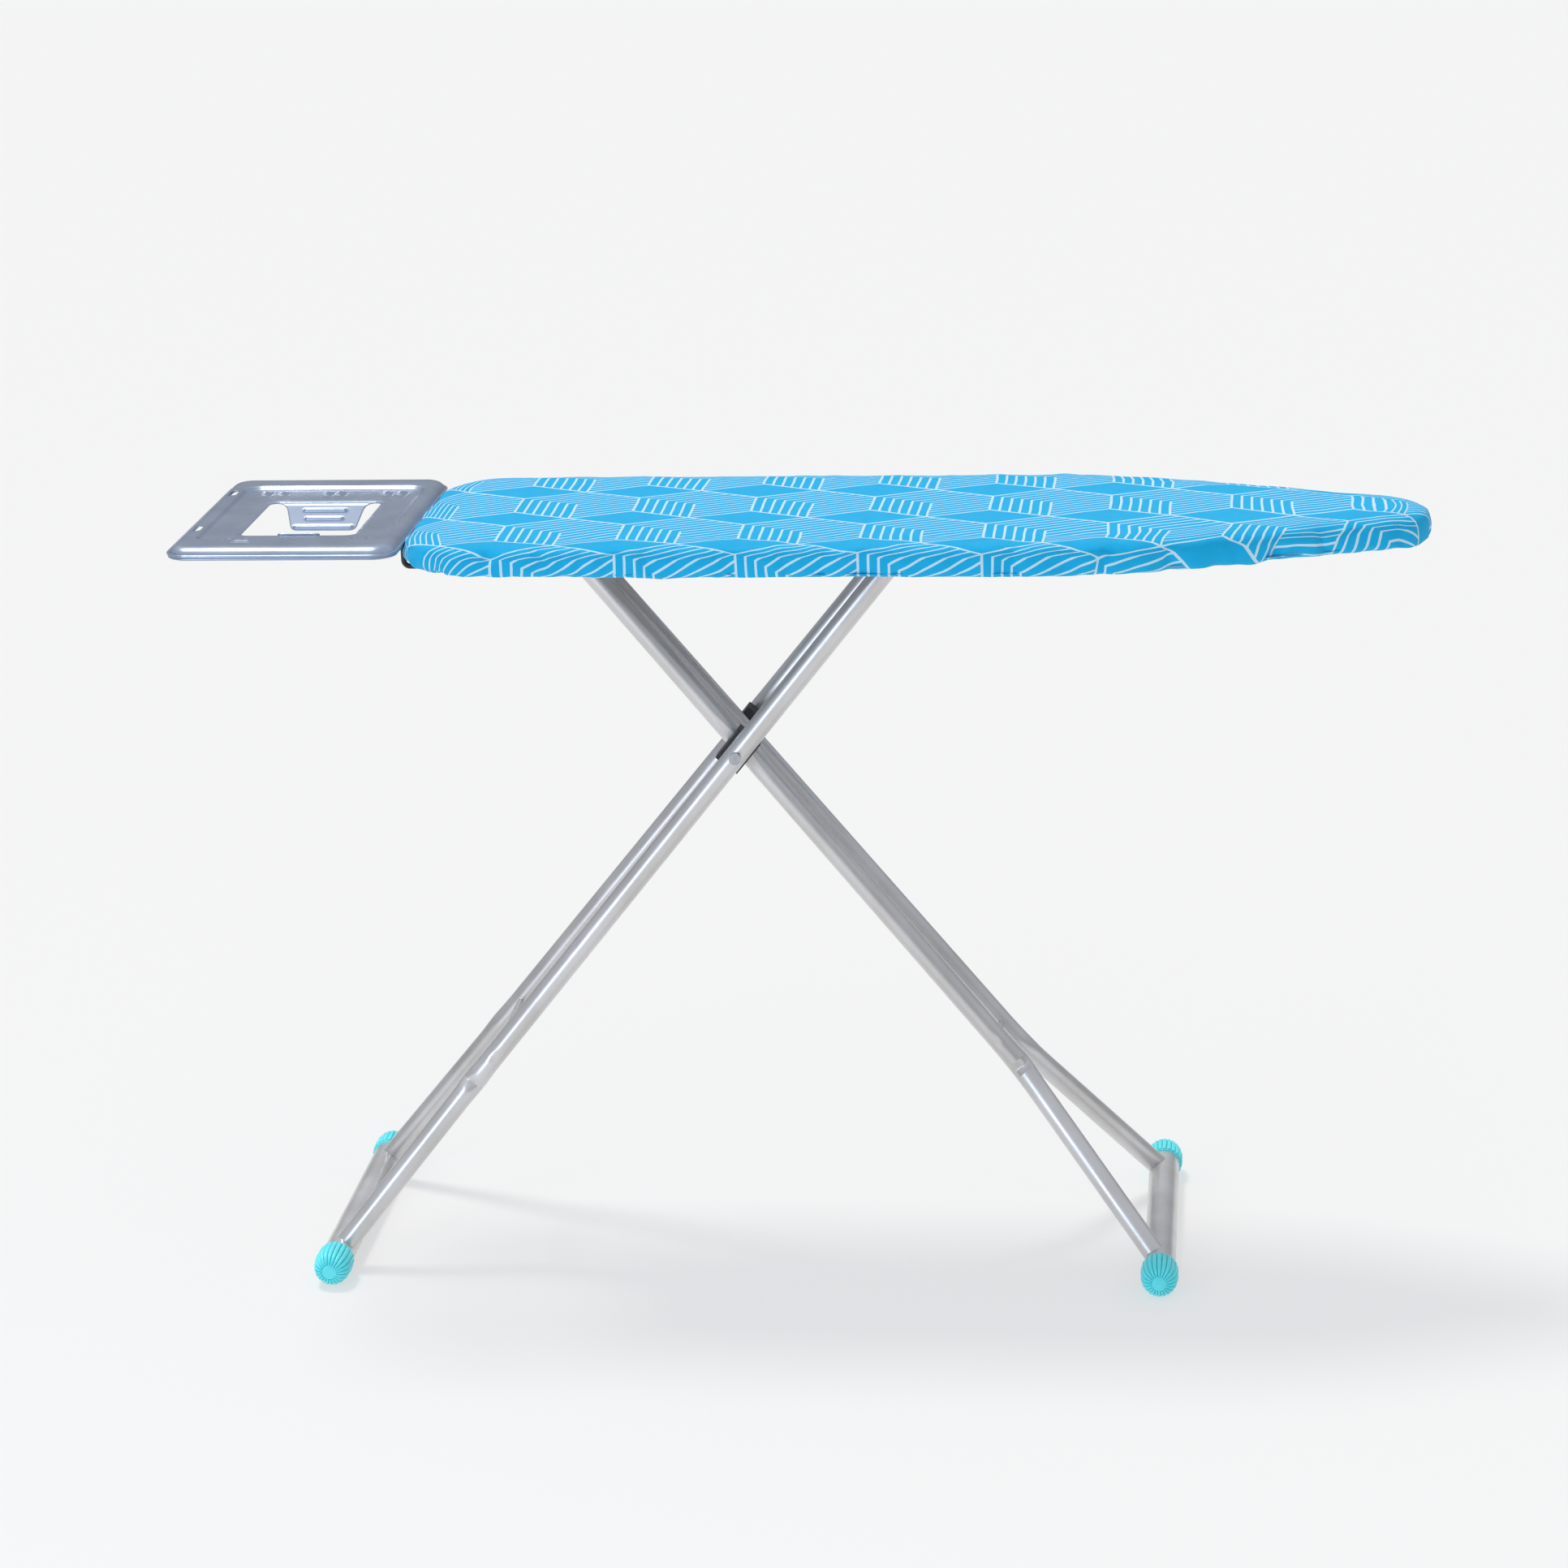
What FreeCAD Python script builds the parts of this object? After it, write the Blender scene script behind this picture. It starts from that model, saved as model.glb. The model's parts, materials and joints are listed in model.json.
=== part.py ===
"""Free-standing ironing board with scissor legs and a steel iron rest.

Axes: +X runs from the iron rest to the nose, +Y is the far side, +Z is up.
Origin: the middle of the object's footprint box, on the floor. Units: millimetres.

Physical pieces, in the order they come apart:
  cover, pad and the elastic in the cover's hem
  steel top plate with its turned-down rim
  two hinge brackets with their rivets, the hinge rod and its two push caps
  two height rails with their rivets
  release lever, its grip, pivot bolt, nut and return spring
  bent wire carrier with its four clips and the pressed steel iron rest
  inner leg: hinge sleeve, two tubes, tie rod, foot bar, two foot caps
  outer leg: top tube, slide bar and its two caps, two tubes, tie rod, foot bar, two foot caps,
  crossing rod, its two rivet heads and two plastic spacers
"""
import FreeCAD, Part
import Sketcher
import math
import os
from FreeCAD import Placement, Rotation, Vector

DIMENSIONS = [
    # board and its soft top
    ("board_top", 883.0),
    ("cover_thickness", 1.8),
    ("pad_thickness", 5.8),
    ("plate_thickness", 1.2),
    ("layer_gap", 0.2),
    ("tail_position", -437.0),
    ("nose_position", 700.0),
    ("board_half_width", 185.0),
    ("tail_corner_radius", 82.0),
    ("shoulder_position", 235.0),
    ("shoulder_radius", 600.0),
    ("nose_radius", 66.0),
    ("cover_edge_radius", 9.0),
    ("rim_inset", 4.0),
    ("rim_bottom", 851.0),
    ("rim_lip", 10.0),
    ("hem_bottom", 846.8),
    ("hem_width", 30.0),
    ("pad_inset", 4.0),
    ("hem_cord_radius", 1.0),
    # scissor legs
    ("pivot_position", -78.0),
    ("pivot_height", 610.0),
    ("hinge_height", 845.0),
    ("half_spread", 192.0),
    ("leg_tube_radius", 12.5),
    ("tube_wall", 1.2),
    ("bend_distance", 806.0),
    ("tie_distance", 764.0),
    ("inner_top_offset", 19.0),
    ("inner_bend_offset", 33.0),
    ("outer_top_offset", 56.0),
    ("outer_bend_offset", 99.0),
    ("foot_offset", 140.0),
    ("tie_rod_radius", 4.0),
    # feet
    ("cap_radius", 22.0),
    ("cap_rim_radius", 21.0),
    ("cap_length", 46.0),
    ("cap_socket_depth", 34.0),
    ("cap_disc_radius", 9.0),
    ("cap_rim_position", 160.0),
    ("foot_bar_radius", 18.0),
    # hinge and crossing
    ("rod_radius", 4.0),
    ("running_clearance", 0.08),
    ("fixed_clearance", 0.03),
    ("sleeve_radius", 10.0),
    ("sleeve_half_length", 36.0),
    ("ear_position", 37.0),
    ("sheet_thickness", 2.0),
    ("ear_half_width", 13.0),
    ("bracket_half_length", 30.0),
    ("bracket_flange", 24.0),
    ("rod_cap_radius", 7.0),
    ("rod_cap_length", 4.0),
    ("spacer_length", 44.0),
    ("spacer_height", 31.0),
    ("spacer_inner", 37.4),
    ("spacer_outer", 58.4),
    # height rails and slide bar
    ("rail_start", 92.0),
    ("rail_end", 362.0),
    ("rail_position", 84.0),
    ("rail_bottom", 836.0),
    ("rail_flange", 20.0),
    ("slot_start", 107.0),
    ("slot_end", 345.0),
    ("slot_half_height", 5.4),
    ("notch_pitch", 34.0),
    ("notch_rise", 3.0),
    ("slide_bar_radius", 5.0),
    ("slide_bar_half_length", 99.0),
    ("slide_cap_radius", 8.0),
    ("slide_cap_length", 5.0),
    ("outer_sleeve_half_length", 72.0),
    # release lever
    ("lever_position", -87.0),
    ("lever_thickness", 3.0),
    ("lever_pivot", 44.0),
    ("lever_height", 855.0),
    ("lever_back", 66.0),
    ("grip_length", 62.0),
    ("grip_radius", 7.0),
    # iron rest and its carrier
    ("rest_start", -700.0),
    ("rest_end", -441.0),
    ("rest_half_width", 180.0),
    ("rest_top", 880.0),
    ("rest_depth", 9.0),
    ("rest_rim_width", 24.0),
    ("rest_panel_drop", 4.0),
    ("rest_sheet", 1.2),
    ("rest_corner", 26.0),
    ("window_start", -632.5),
    ("window_end", -500.5),
    ("window_half_width", 83.0),
    ("window_centre", -12.5),
    ("flap_length", 38.0),
    ("flap_root", 96.0),
    ("flap_tip", 74.0),
    ("flap_angle", 44.0),
    ("wire_radius", 3.0),
    ("wire_offset", 114.0),
    ("wire_bend", 7.0),
    ("clip_width", 10.0),
    ("rivet_radius", 4.0),
    ("rivet_rise", 1.6),
]

SHEET = "Dimensions"
REACH = 2.0  # how far a cutting solid runs past the face it cuts

doc = FreeCAD.newDocument("IroningBoard")
sheet = doc.addObject("Spreadsheet::Sheet", SHEET)
for row, (alias, value) in enumerate(DIMENSIONS, start=1):
    sheet.set("A%d" % row, alias)
    sheet.set("B%d" % row, str(value))
    sheet.setAlias("B%d" % row, alias)
doc.recompute()

size = dict(DIMENSIONS)
pieces = {}


def linked(text):
    """Turn bare alias names in a formula into references to the sheet."""
    words = sorted(size, key=len, reverse=True)
    for word in words:
        text = text.replace(word, "%s.#%d#" % (SHEET, words.index(word)))
    for number, word in enumerate(words):
        text = text.replace("#%d#" % number, word)
    return text


def worth(formula):
    """The value of a formula over the sheet's aliases, for a first position."""
    return float(sheet.evalExpression(linked(formula)))


def keep(label, thing):
    """Register a finished piece under the name of its file."""
    thing.Label = label
    pieces[label] = thing
    return thing


def along(start, end):
    """Placement whose local Z runs from one point to the other."""
    return Placement(start, Rotation(Vector(0, 0, 1), end - start))


def rod(name, start, end, radius):
    """Solid round bar between two points, its radius bound to the sheet."""
    bar = doc.addObject("Part::Cylinder", name)
    bar.setExpression("Radius", linked(radius))
    bar.Height = (end - start).Length
    bar.Placement = along(start, end)
    return bar


def ball(name, centre, radius):
    """Solid sphere that closes the outside of a bend."""
    knob = doc.addObject("Part::Sphere", name)
    knob.setExpression("Radius", linked(radius))
    knob.Placement = Placement(centre, Rotation())
    return knob


def fused(name, shapes):
    """Union of several solids."""
    whole = doc.addObject("Part::MultiFuse", name)
    whole.Shapes = shapes
    return whole


def cut(name, base, tool):
    """One solid with another taken away."""
    result = doc.addObject("Part::Cut", name)
    result.Base = base
    result.Tool = tool
    return result


def tube(name, start, end, radius, wall):
    """Straight open tube between two points."""
    bar = rod(name + "_outside", start, end, radius)
    direction = (end - start).normalize() * REACH
    bore = rod(name + "_bore", start - direction, end + direction, "%s - (%s)" % (radius, wall))
    return cut(name, bar, bore)


def plain(label, shape, placement=Placement()):
    """Piece whose shape comes from Part's own functions."""
    thing = doc.addObject("Part::Feature", label)
    thing.Shape = shape
    thing.Placement = placement
    return keep(label, thing)


# ---------------------------------------------------------------- part design


def new_body(name):
    return doc.addObject("PartDesign::Body", name)


def sketch_on(body, role, name):
    """Sketch lying on one of the body's own origin planes."""
    sketch = body.newObject("Sketcher::SketchObject", name)
    plane = [item for item in body.Origin.OriginFeatures if item.Role == role][0]
    sketch.AttachmentSupport = [(plane, "")]
    sketch.MapMode = "FlatFace"
    return sketch


def bind(sketch, index, formula):
    sketch.setExpression("Constraints[%d]" % index, linked(formula))


def pin_point(sketch, edge, end, across, up):
    """Hold one end of an edge at formulas measured from the sketch's origin."""
    for kind, formula in (("DistanceX", across), ("DistanceY", up)):
        value = worth(formula)
        index = sketch.addConstraint(Sketcher.Constraint(kind, -1, 1, edge, end, value))
        bind(sketch, index, formula)


def polygon(sketch, corners):
    """Closed outline of straight edges whose corners are pairs of formulas."""
    spots = [Vector(worth(across), worth(up), 0) for across, up in corners]
    first = None
    count = len(spots)
    for number, spot in enumerate(spots):
        edge = sketch.addGeometry(Part.LineSegment(spot, spots[(number + 1) % count]))
        first = edge if first is None else first
    for number in range(count):
        following = first + (number + 1) % count
        sketch.addConstraint(Sketcher.Constraint("Coincident", first + number, 2, following, 1))
    for number, (across, up) in enumerate(corners):
        pin_point(sketch, first + number, 1, across, up)


def rectangle(sketch, left, low, right, high):
    polygon(sketch, [(left, low), (right, low), (right, high), (left, high)])


def circle(sketch, across, up, radius):
    centre = Vector(worth(across), worth(up), 0)
    edge = sketch.addGeometry(Part.Circle(centre, Vector(0, 0, 1), worth(radius)))
    pin_point(sketch, edge, 3, across, up)
    index = sketch.addConstraint(Sketcher.Constraint("Radius", edge, worth(radius)))
    bind(sketch, index, radius)


def padded(body, sketch, name, length, backwards=False, both=False):
    feature = body.newObject("PartDesign::Pad", name)
    feature.Profile = sketch
    feature.setExpression("Length", linked(length))
    feature.Reversed = backwards
    feature.Midplane = both
    doc.recompute()
    return feature


def pocketed(body, sketch, name, length):
    """Cut both ways through the body, and check that it removed material."""
    before = body.Shape.Volume
    feature = body.newObject("PartDesign::Pocket", name)
    feature.Profile = sketch
    feature.setExpression("Length", linked(length))
    feature.Midplane = True
    doc.recompute()
    if body.Shape.Volume >= before:
        raise RuntimeError(name + " removed nothing")
    return feature


# ---------------------------------------------------------------- board outline


def outline(inset, height):
    """Closed wire of the board's plan, moved inwards by inset."""
    half = size["board_half_width"] - inset
    tail = size["tail_position"] + inset
    corner = size["tail_corner_radius"] - inset
    nose = size["nose_radius"] - inset
    shoulder = size["shoulder_radius"] - inset
    nose_centre = size["nose_position"] - size["nose_radius"]
    # the taper touches the nose circle; its angle does not depend on the inset
    reach = nose_centre - size["shoulder_position"]
    gap = math.hypot(reach, size["board_half_width"])
    slope = math.atan2(size["board_half_width"], reach) - math.asin(size["nose_radius"] / gap)
    turn = size["shoulder_radius"] * math.tan(slope / 2)
    shoulder_start = size["shoulder_position"] - turn
    shoulder_centre = size["board_half_width"] - size["shoulder_radius"]

    def spot(x, y, side):
        return Vector(x, side * y, height)

    def on_shoulder(angle, side):
        x = shoulder_start + shoulder * math.sin(angle)
        return spot(x, shoulder_centre + shoulder * math.cos(angle), side)

    def on_nose(angle, side):
        return spot(nose_centre + nose * math.sin(angle), nose * math.cos(angle), side)

    def on_corner(angle, side):
        x = tail + corner - corner * math.sin(angle)
        return spot(x, half - corner + corner * math.cos(angle), side)

    def flank(side):
        """Edges from the tail's corner to the nose on one side."""
        arc = Part.Arc
        line = Part.LineSegment
        corner_start, corner_middle = on_corner(math.pi / 2, side), on_corner(math.pi / 4, side)
        return [
            arc(corner_start, corner_middle, on_corner(0, side)),
            line(on_corner(0, side), on_shoulder(0, side)),
            arc(on_shoulder(0, side), on_shoulder(slope / 2, side), on_shoulder(slope, side)),
            line(on_shoulder(slope, side), on_nose(slope, side)),
            arc(on_nose(slope, side), on_nose((slope + math.pi / 2) / 2, side), spot(nose_centre + nose, 0, side)),
        ]

    far = flank(1)
    near = flank(-1)
    tail_edge = Part.LineSegment(on_corner(math.pi / 2, -1), on_corner(math.pi / 2, 1))
    edges = [tail_edge.toShape()] + [piece.toShape() for piece in far + near]
    return Part.Wire(Part.__sortEdges__(edges))


def slab(inset, low, high):
    """Solid plate with the board's plan between two heights."""
    return Part.Face(outline(inset, low)).extrude(Vector(0, 0, high - low))


def make_soft_top():
    top = size["board_top"]
    skin = size["cover_thickness"]
    outer = slab(0, size["hem_bottom"], top)
    crown = [edge for edge in outer.Edges if edge.BoundBox.ZMin > top - 0.01]
    outer = outer.makeFillet(size["cover_edge_radius"], crown)
    hollow = slab(skin, size["hem_bottom"] + skin, top - skin)
    ridge = [edge for edge in hollow.Edges if edge.BoundBox.ZMin > top - skin - 0.01]
    hollow = hollow.makeFillet(size["cover_edge_radius"] - skin, ridge)
    mouth = slab(size["hem_width"], size["hem_bottom"] - REACH, size["hem_bottom"] + skin + REACH)
    plain("cover", outer.cut(hollow).cut(mouth))

    pad_top = top - skin - size["layer_gap"]
    pad_bottom = pad_top - size["pad_thickness"]
    pad_edge = size["pad_thickness"] * 0.9
    block = slab(size["pad_inset"], pad_bottom, pad_top)
    upper = [edge for edge in block.Edges if edge.BoundBox.ZMin > pad_top - 0.01]
    plain("pad", block.makeFillet(pad_edge, upper))

    cord_height = size["hem_bottom"] + skin + size["hem_cord_radius"] + size["layer_gap"]
    inset = size["hem_width"] - 3
    cord = slab(inset, cord_height - 1, cord_height + 1)
    cord = cord.cut(slab(inset + 2 * size["hem_cord_radius"], cord_height - 2, cord_height + 2))
    plain("hem_elastic", cord)
    return pad_bottom


def make_plate(pad_bottom):
    """Steel plate with a turned-down rim and a narrow return lip."""
    high = pad_bottom - size["layer_gap"]
    low = size["rim_bottom"]
    wall = size["plate_thickness"]
    inset = size["rim_inset"]
    body = slab(inset, low, high)
    body = body.cut(slab(inset + wall, low + wall, high - wall))
    body = body.cut(slab(inset + size["rim_lip"], low - REACH, low + wall + REACH))
    plain("top_plate", body)
    return high - wall


# ---------------------------------------------------------------- hinge side


def make_hinge_bracket(label, side, ceiling):
    """Folded steel ear with a flange under the plate, drilled for the hinge rod."""
    centre = "pivot_position - half_spread"
    body = new_body(label + "_body")
    ear = sketch_on(body, "XZ_Plane", label + "_ear")
    polygon(
        ear,
        [
            (centre + " - bracket_half_length", str(ceiling)),
            (centre + " - ear_half_width", "hinge_height - 4"),
            (centre + " - ear_half_width * 0.55", "hinge_height - 12"),
            (centre + " + ear_half_width * 0.55", "hinge_height - 12"),
            (centre + " + ear_half_width", "hinge_height - 4"),
            (centre + " + bracket_half_length", str(ceiling)),
        ],
    )
    circle(ear, centre, "hinge_height", "rod_radius + fixed_clearance")
    padded(body, ear, label + "_ear_pad", "sheet_thickness", backwards=True)
    flange = sketch_on(body, "XY_Plane", label + "_flange")
    rectangle(
        flange,
        centre + " - bracket_half_length",
        "0",
        centre + " + bracket_half_length",
        "bracket_flange",
    )
    flange.AttachmentOffset = Placement(Vector(0, 0, ceiling - size["sheet_thickness"]), Rotation())
    padded(body, flange, label + "_flange_pad", "sheet_thickness")
    body.Placement = Placement(Vector(0, size["ear_position"], 0), Rotation())
    if side > 0:
        keep(label, body)
        return
    # the near bracket is the same piece turned about the upright axis through the hinge
    turn = Rotation(Vector(0, 0, 1), 180)
    shift = Vector(2 * worth(centre), -size["ear_position"], 0)
    body.Placement = Placement(shift, turn)
    keep(label, body)


def make_hinge(ceiling):
    hinge = Vector(size["pivot_position"] - size["half_spread"], 0, size["hinge_height"])
    for label, side in (("hinge_bracket_front", -1), ("hinge_bracket_rear", 1)):
        make_hinge_bracket(label, side, ceiling)
    half = size["ear_position"] + size["sheet_thickness"] + size["rod_cap_length"]
    bar = rod("hinge_rod", hinge - Vector(0, half, 0), hinge + Vector(0, half, 0), "rod_radius")
    keep("hinge_rod", bar)
    caps = []
    for side in (-1, 1):
        inner = hinge + Vector(0, side * (half - size["rod_cap_length"] + 0.3), 0)
        outer = hinge + Vector(0, side * (half + 2), 0)
        blank = rod("push_cap_blank", inner, outer, "rod_cap_radius")
        socket_end = hinge + Vector(0, side * half, 0)
        socket = rod("push_cap_socket", hinge, socket_end, "rod_radius + fixed_clearance")
        caps.append(cut("push_cap", blank, socket))
    keep("hinge_rod_caps", fused("hinge_rod_caps", caps))


# ---------------------------------------------------------------- height rails


def make_rail(label, side, ceiling):
    """Folded steel rail with a long slot and a row of height notches above it."""
    body = new_body(label + "_body")
    web = sketch_on(body, "XZ_Plane", label + "_web")
    rectangle(web, "rail_start", "rail_bottom", "rail_end", str(ceiling))
    padded(body, web, label + "_web_pad", "sheet_thickness", backwards=True)
    flange = sketch_on(body, "XY_Plane", label + "_flange")
    rectangle(flange, "rail_start", "0", "rail_end", "rail_flange")
    flange.AttachmentOffset = Placement(Vector(0, 0, ceiling - size["sheet_thickness"]), Rotation())
    padded(body, flange, label + "_flange_pad", "sheet_thickness")
    slot = sketch_on(body, "XZ_Plane", label + "_slot")
    rectangle(
        slot,
        "slot_start",
        "hinge_height - slot_half_height",
        "slot_end",
        "hinge_height + slot_half_height",
    )
    pocketed(body, slot, label + "_slot_pocket", "sheet_thickness * 4")
    notch = sketch_on(body, "XZ_Plane", label + "_notch")
    circle(
        notch,
        "pivot_position + half_spread",
        "hinge_height + notch_rise",
        "slot_half_height",
    )
    first = pocketed(body, notch, label + "_notch_pocket", "sheet_thickness * 4")
    row = body.newObject("PartDesign::LinearPattern", label + "_notches")
    row.Originals = [first]
    row.Direction = (notch, ["H_Axis"])
    row.Occurrences = 7
    row.setExpression("Length", linked("notch_pitch * 6"))
    body.Tip = row
    doc.recompute()
    body.Placement = Placement(Vector(0, size["rail_position"], 0), Rotation())
    if side > 0:
        keep(label, body)
        return
    mirrored = doc.addObject("Part::Mirroring", label)
    mirrored.Source = body
    mirrored.Normal = Vector(0, 1, 0)
    keep(label, mirrored)


def make_rivets(label, spots, ceiling):
    """Flat domes under the flanges, one solid per rivet."""
    heads = []
    for x, y in spots:
        low = ceiling - size["sheet_thickness"] - size["rivet_rise"]
        head = rod("rivet_head", Vector(x, y, low), Vector(x, y, low + size["rivet_rise"]), "rivet_radius")
        heads.append(head)
    keep(label, fused(label, heads))


def make_all_rivets(ceiling):
    hinge_x = size["pivot_position"] - size["half_spread"]
    flange = size["ear_position"] + size["sheet_thickness"] + 11
    spots = [(hinge_x + step, side * flange) for side in (-1, 1) for step in (-20, 20)]
    make_rivets("bracket_rivets", spots, ceiling)
    flange = size["rail_position"] + size["rail_flange"] - 7
    reach = size["rail_end"] - size["rail_start"] - 30
    along_rail = [size["rail_start"] + 15 + reach * step / 4 for step in range(5)]
    spots = [(x, side * flange) for side in (-1, 1) for x in along_rail]
    make_rivets("rail_rivets", spots, ceiling)


# ---------------------------------------------------------------- release lever


def make_lever():
    """Flat lever beside the near rail: its nose bears on the slide bar, its tail has the grip."""
    body = new_body("release_lever_body")
    side = sketch_on(body, "XZ_Plane", "lever_outline")
    bar_x = "pivot_position + half_spread"
    nose_height = "hinge_height + slide_bar_radius + 0.6"
    polygon(
        side,
        [
            ("lever_pivot - lever_back", "lever_height - 6"),
            ("lever_pivot", "lever_height - 9"),
            (bar_x + " - slide_bar_radius - 6", "hinge_height - 1"),
            (bar_x + " - slide_bar_radius - 1", "hinge_height - 1"),
            (bar_x + " - slide_bar_radius", nose_height),
            (bar_x + " + slide_bar_radius + 9", nose_height),
            (bar_x + " + slide_bar_radius + 9", "lever_height + 4"),
            ("lever_pivot", "lever_height + 8"),
            ("lever_pivot - lever_back", "lever_height + 4"),
        ],
    )
    padded(body, side, "lever_pad", "lever_thickness")
    bore = sketch_on(body, "XZ_Plane", "lever_bore")
    circle(bore, "lever_pivot", "lever_height", "rod_radius + running_clearance")
    pocketed(body, bore, "lever_bore_pocket", "lever_thickness * 4")
    body.Placement = Placement(Vector(0, size["lever_position"], 0), Rotation())
    keep("release_lever", body)

    tail_x = size["lever_pivot"] - size["lever_back"] + 1
    middle_y = size["lever_position"] - size["lever_thickness"] / 2
    height = size["lever_height"] - 1
    start = Vector(tail_x, middle_y, height)
    handle = rod("grip_blank", start, start - Vector(size["grip_length"], 0, 0), "grip_radius")
    tip = ball("grip_tip", start - Vector(size["grip_length"], 0, 0), "grip_radius")
    blank = fused("grip_solid", [handle, tip])
    slot = doc.addObject("Part::Box", "grip_slot")
    slot.Length = 8
    slot.setExpression("Width", linked("lever_thickness + 0.2"))
    slot.Height = 12
    slot.Placement = Placement(Vector(tail_x - 7, middle_y - size["lever_thickness"] / 2 - 0.1, height - 6), Rotation())
    keep("lever_grip", cut("lever_grip", blank, slot))


def make_lever_pivot():
    """Bolt through the rail's front extension, with nut and torsion spring."""
    pivot = Vector(size["lever_pivot"], 0, size["lever_height"])
    outer = size["lever_position"] - size["lever_thickness"]
    inner = size["lever_position"] + size["sheet_thickness"] + 1
    shank = rod("bolt_shank", pivot + Vector(0, outer - 9, 0), pivot + Vector(0, inner + 6, 0), "rod_radius")
    head = rod("bolt_head", pivot + Vector(0, outer - 12, 0), pivot + Vector(0, outer - 9, 0), "rod_cap_radius")
    keep("lever_pivot_bolt", fused("lever_pivot_bolt", [shank, head]))
    nut_blank = doc.addObject("Part::Prism", "nut_blank")
    nut_blank.Polygon = 6
    nut_blank.setExpression("Circumradius", linked("rod_cap_radius"))
    nut_blank.Height = 4
    nut_start = pivot + Vector(0, inner + 0.3, 0)
    nut_blank.Placement = along(nut_start, nut_start + Vector(0, 1, 0))
    bore_end = pivot + Vector(0, inner + 8, 0)
    nut_bore = rod("nut_bore", pivot + Vector(0, inner - 2, 0), bore_end, "rod_radius + fixed_clearance")
    keep("lever_pivot_nut", cut("lever_pivot_nut", nut_blank, nut_bore))


def make_lever_bracket(ceiling):
    """Small folded bracket that carries the lever's pivot bolt."""
    body = new_body("lever_bracket_body")
    web = sketch_on(body, "XZ_Plane", "lever_bracket_web")
    rectangle(web, "lever_pivot - 14", "lever_height - 12", "lever_pivot + 14", str(ceiling))
    circle(web, "lever_pivot", "lever_height", "rod_radius + fixed_clearance")
    padded(body, web, "lever_bracket_web_pad", "sheet_thickness")
    flange = sketch_on(body, "XY_Plane", "lever_bracket_flange")
    rectangle(flange, "lever_pivot - 14", "-sheet_thickness", "lever_pivot + 14", "16")
    flange.AttachmentOffset = Placement(Vector(0, 0, ceiling - size["sheet_thickness"]), Rotation())
    padded(body, flange, "lever_bracket_flange_pad", "sheet_thickness")
    front = size["lever_position"] + size["sheet_thickness"] + 0.4
    body.Placement = Placement(Vector(0, front, 0), Rotation())
    keep("lever_bracket", body)


def make_lever_spring():
    """Torsion spring round the pivot bolt: its close-wound coil and a leg to each side."""
    wire = 0.9
    coil_length = 8 * wire
    start = size["lever_position"] - size["lever_thickness"] - 0.6
    bore = size["rod_radius"] + 0.4
    centre = Vector(size["lever_pivot"], start, size["lever_height"])
    away = Vector(0, -1, 0)
    coil = Part.makeCylinder(bore + 2 * wire, coil_length, centre, away)
    legs = []
    for step, direction in ((wire, 1), (coil_length - wire, -1)):
        foot = centre + away * step + Vector(0, 0, bore + wire)
        legs.append(Part.makeCylinder(wire * 0.98, 22, foot, Vector(direction, 0, 0)))
    spring = coil.multiFuse(legs)
    hollow = Part.makeCylinder(bore, coil_length + 2 * REACH, centre - away * REACH, away)
    plain("lever_spring", spring.cut(hollow))


# ---------------------------------------------------------------- legs


def leg_frame(direction):
    """Unit vector down one leg and its top point, in the middle plane."""
    drop = size["hinge_height"] - size["pivot_height"]
    arm = math.hypot(size["half_spread"], drop)
    unit = Vector(direction * size["half_spread"] / arm, 0, -drop / arm)
    top = Vector(size["pivot_position"] - direction * size["half_spread"], 0, size["hinge_height"])
    length = (size["hinge_height"] - size["cap_radius"]) / drop * arm
    return top, unit, length, arm


def offset_at(distance, top_offset, bend_offset):
    """How far a tube's axis lies from the middle plane, above the bend."""
    share = distance / size["bend_distance"]
    return top_offset + (bend_offset - top_offset) * share


def leg_tube(label, direction, side, offsets, sleeve_bar, foot_bar, holes):
    """Bent round tube from the leg's top to its foot bar, coped at both ends."""
    top, unit, length, arm = leg_frame(direction)
    high = top + Vector(0, side * offsets[0], 0)
    bend = top + unit * size["bend_distance"] + Vector(0, side * offsets[1], 0)
    low = top + unit * length + Vector(0, side * size["foot_offset"], 0)
    solids = []
    for name, radius in (("outside", "leg_tube_radius"), ("inside", "leg_tube_radius - tube_wall")):
        upper = rod(label + "_upper_" + name, high, bend, radius)
        elbow = ball(label + "_elbow_" + name, bend, radius)
        lower = rod(label + "_lower_" + name, bend, low, radius)
        solids.append(fused(label + "_" + name, [upper, elbow, lower]))
    hollow = cut(label + "_hollow", solids[0], solids[1])
    tools = fused(label + "_tools", [sleeve_bar, foot_bar] + holes)
    return keep(label, cut(label, hollow, tools))


def make_foot(leg, direction):
    """Foot bar and its two socketed caps."""
    top, unit, length, arm = leg_frame(direction)
    centre = top + unit * length
    half = size["cap_rim_position"] + size["cap_socket_depth"] - 1
    reach = Vector(0, half, 0)
    bar = tube(leg + "_foot_bar", centre - reach, centre + reach, "foot_bar_radius", "tube_wall")
    keep(leg + "_foot_bar", bar)
    for name, side in (("front", -1), ("rear", 1)):
        make_cap("%s_foot_cap_%s" % (leg, name), centre, side)


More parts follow.
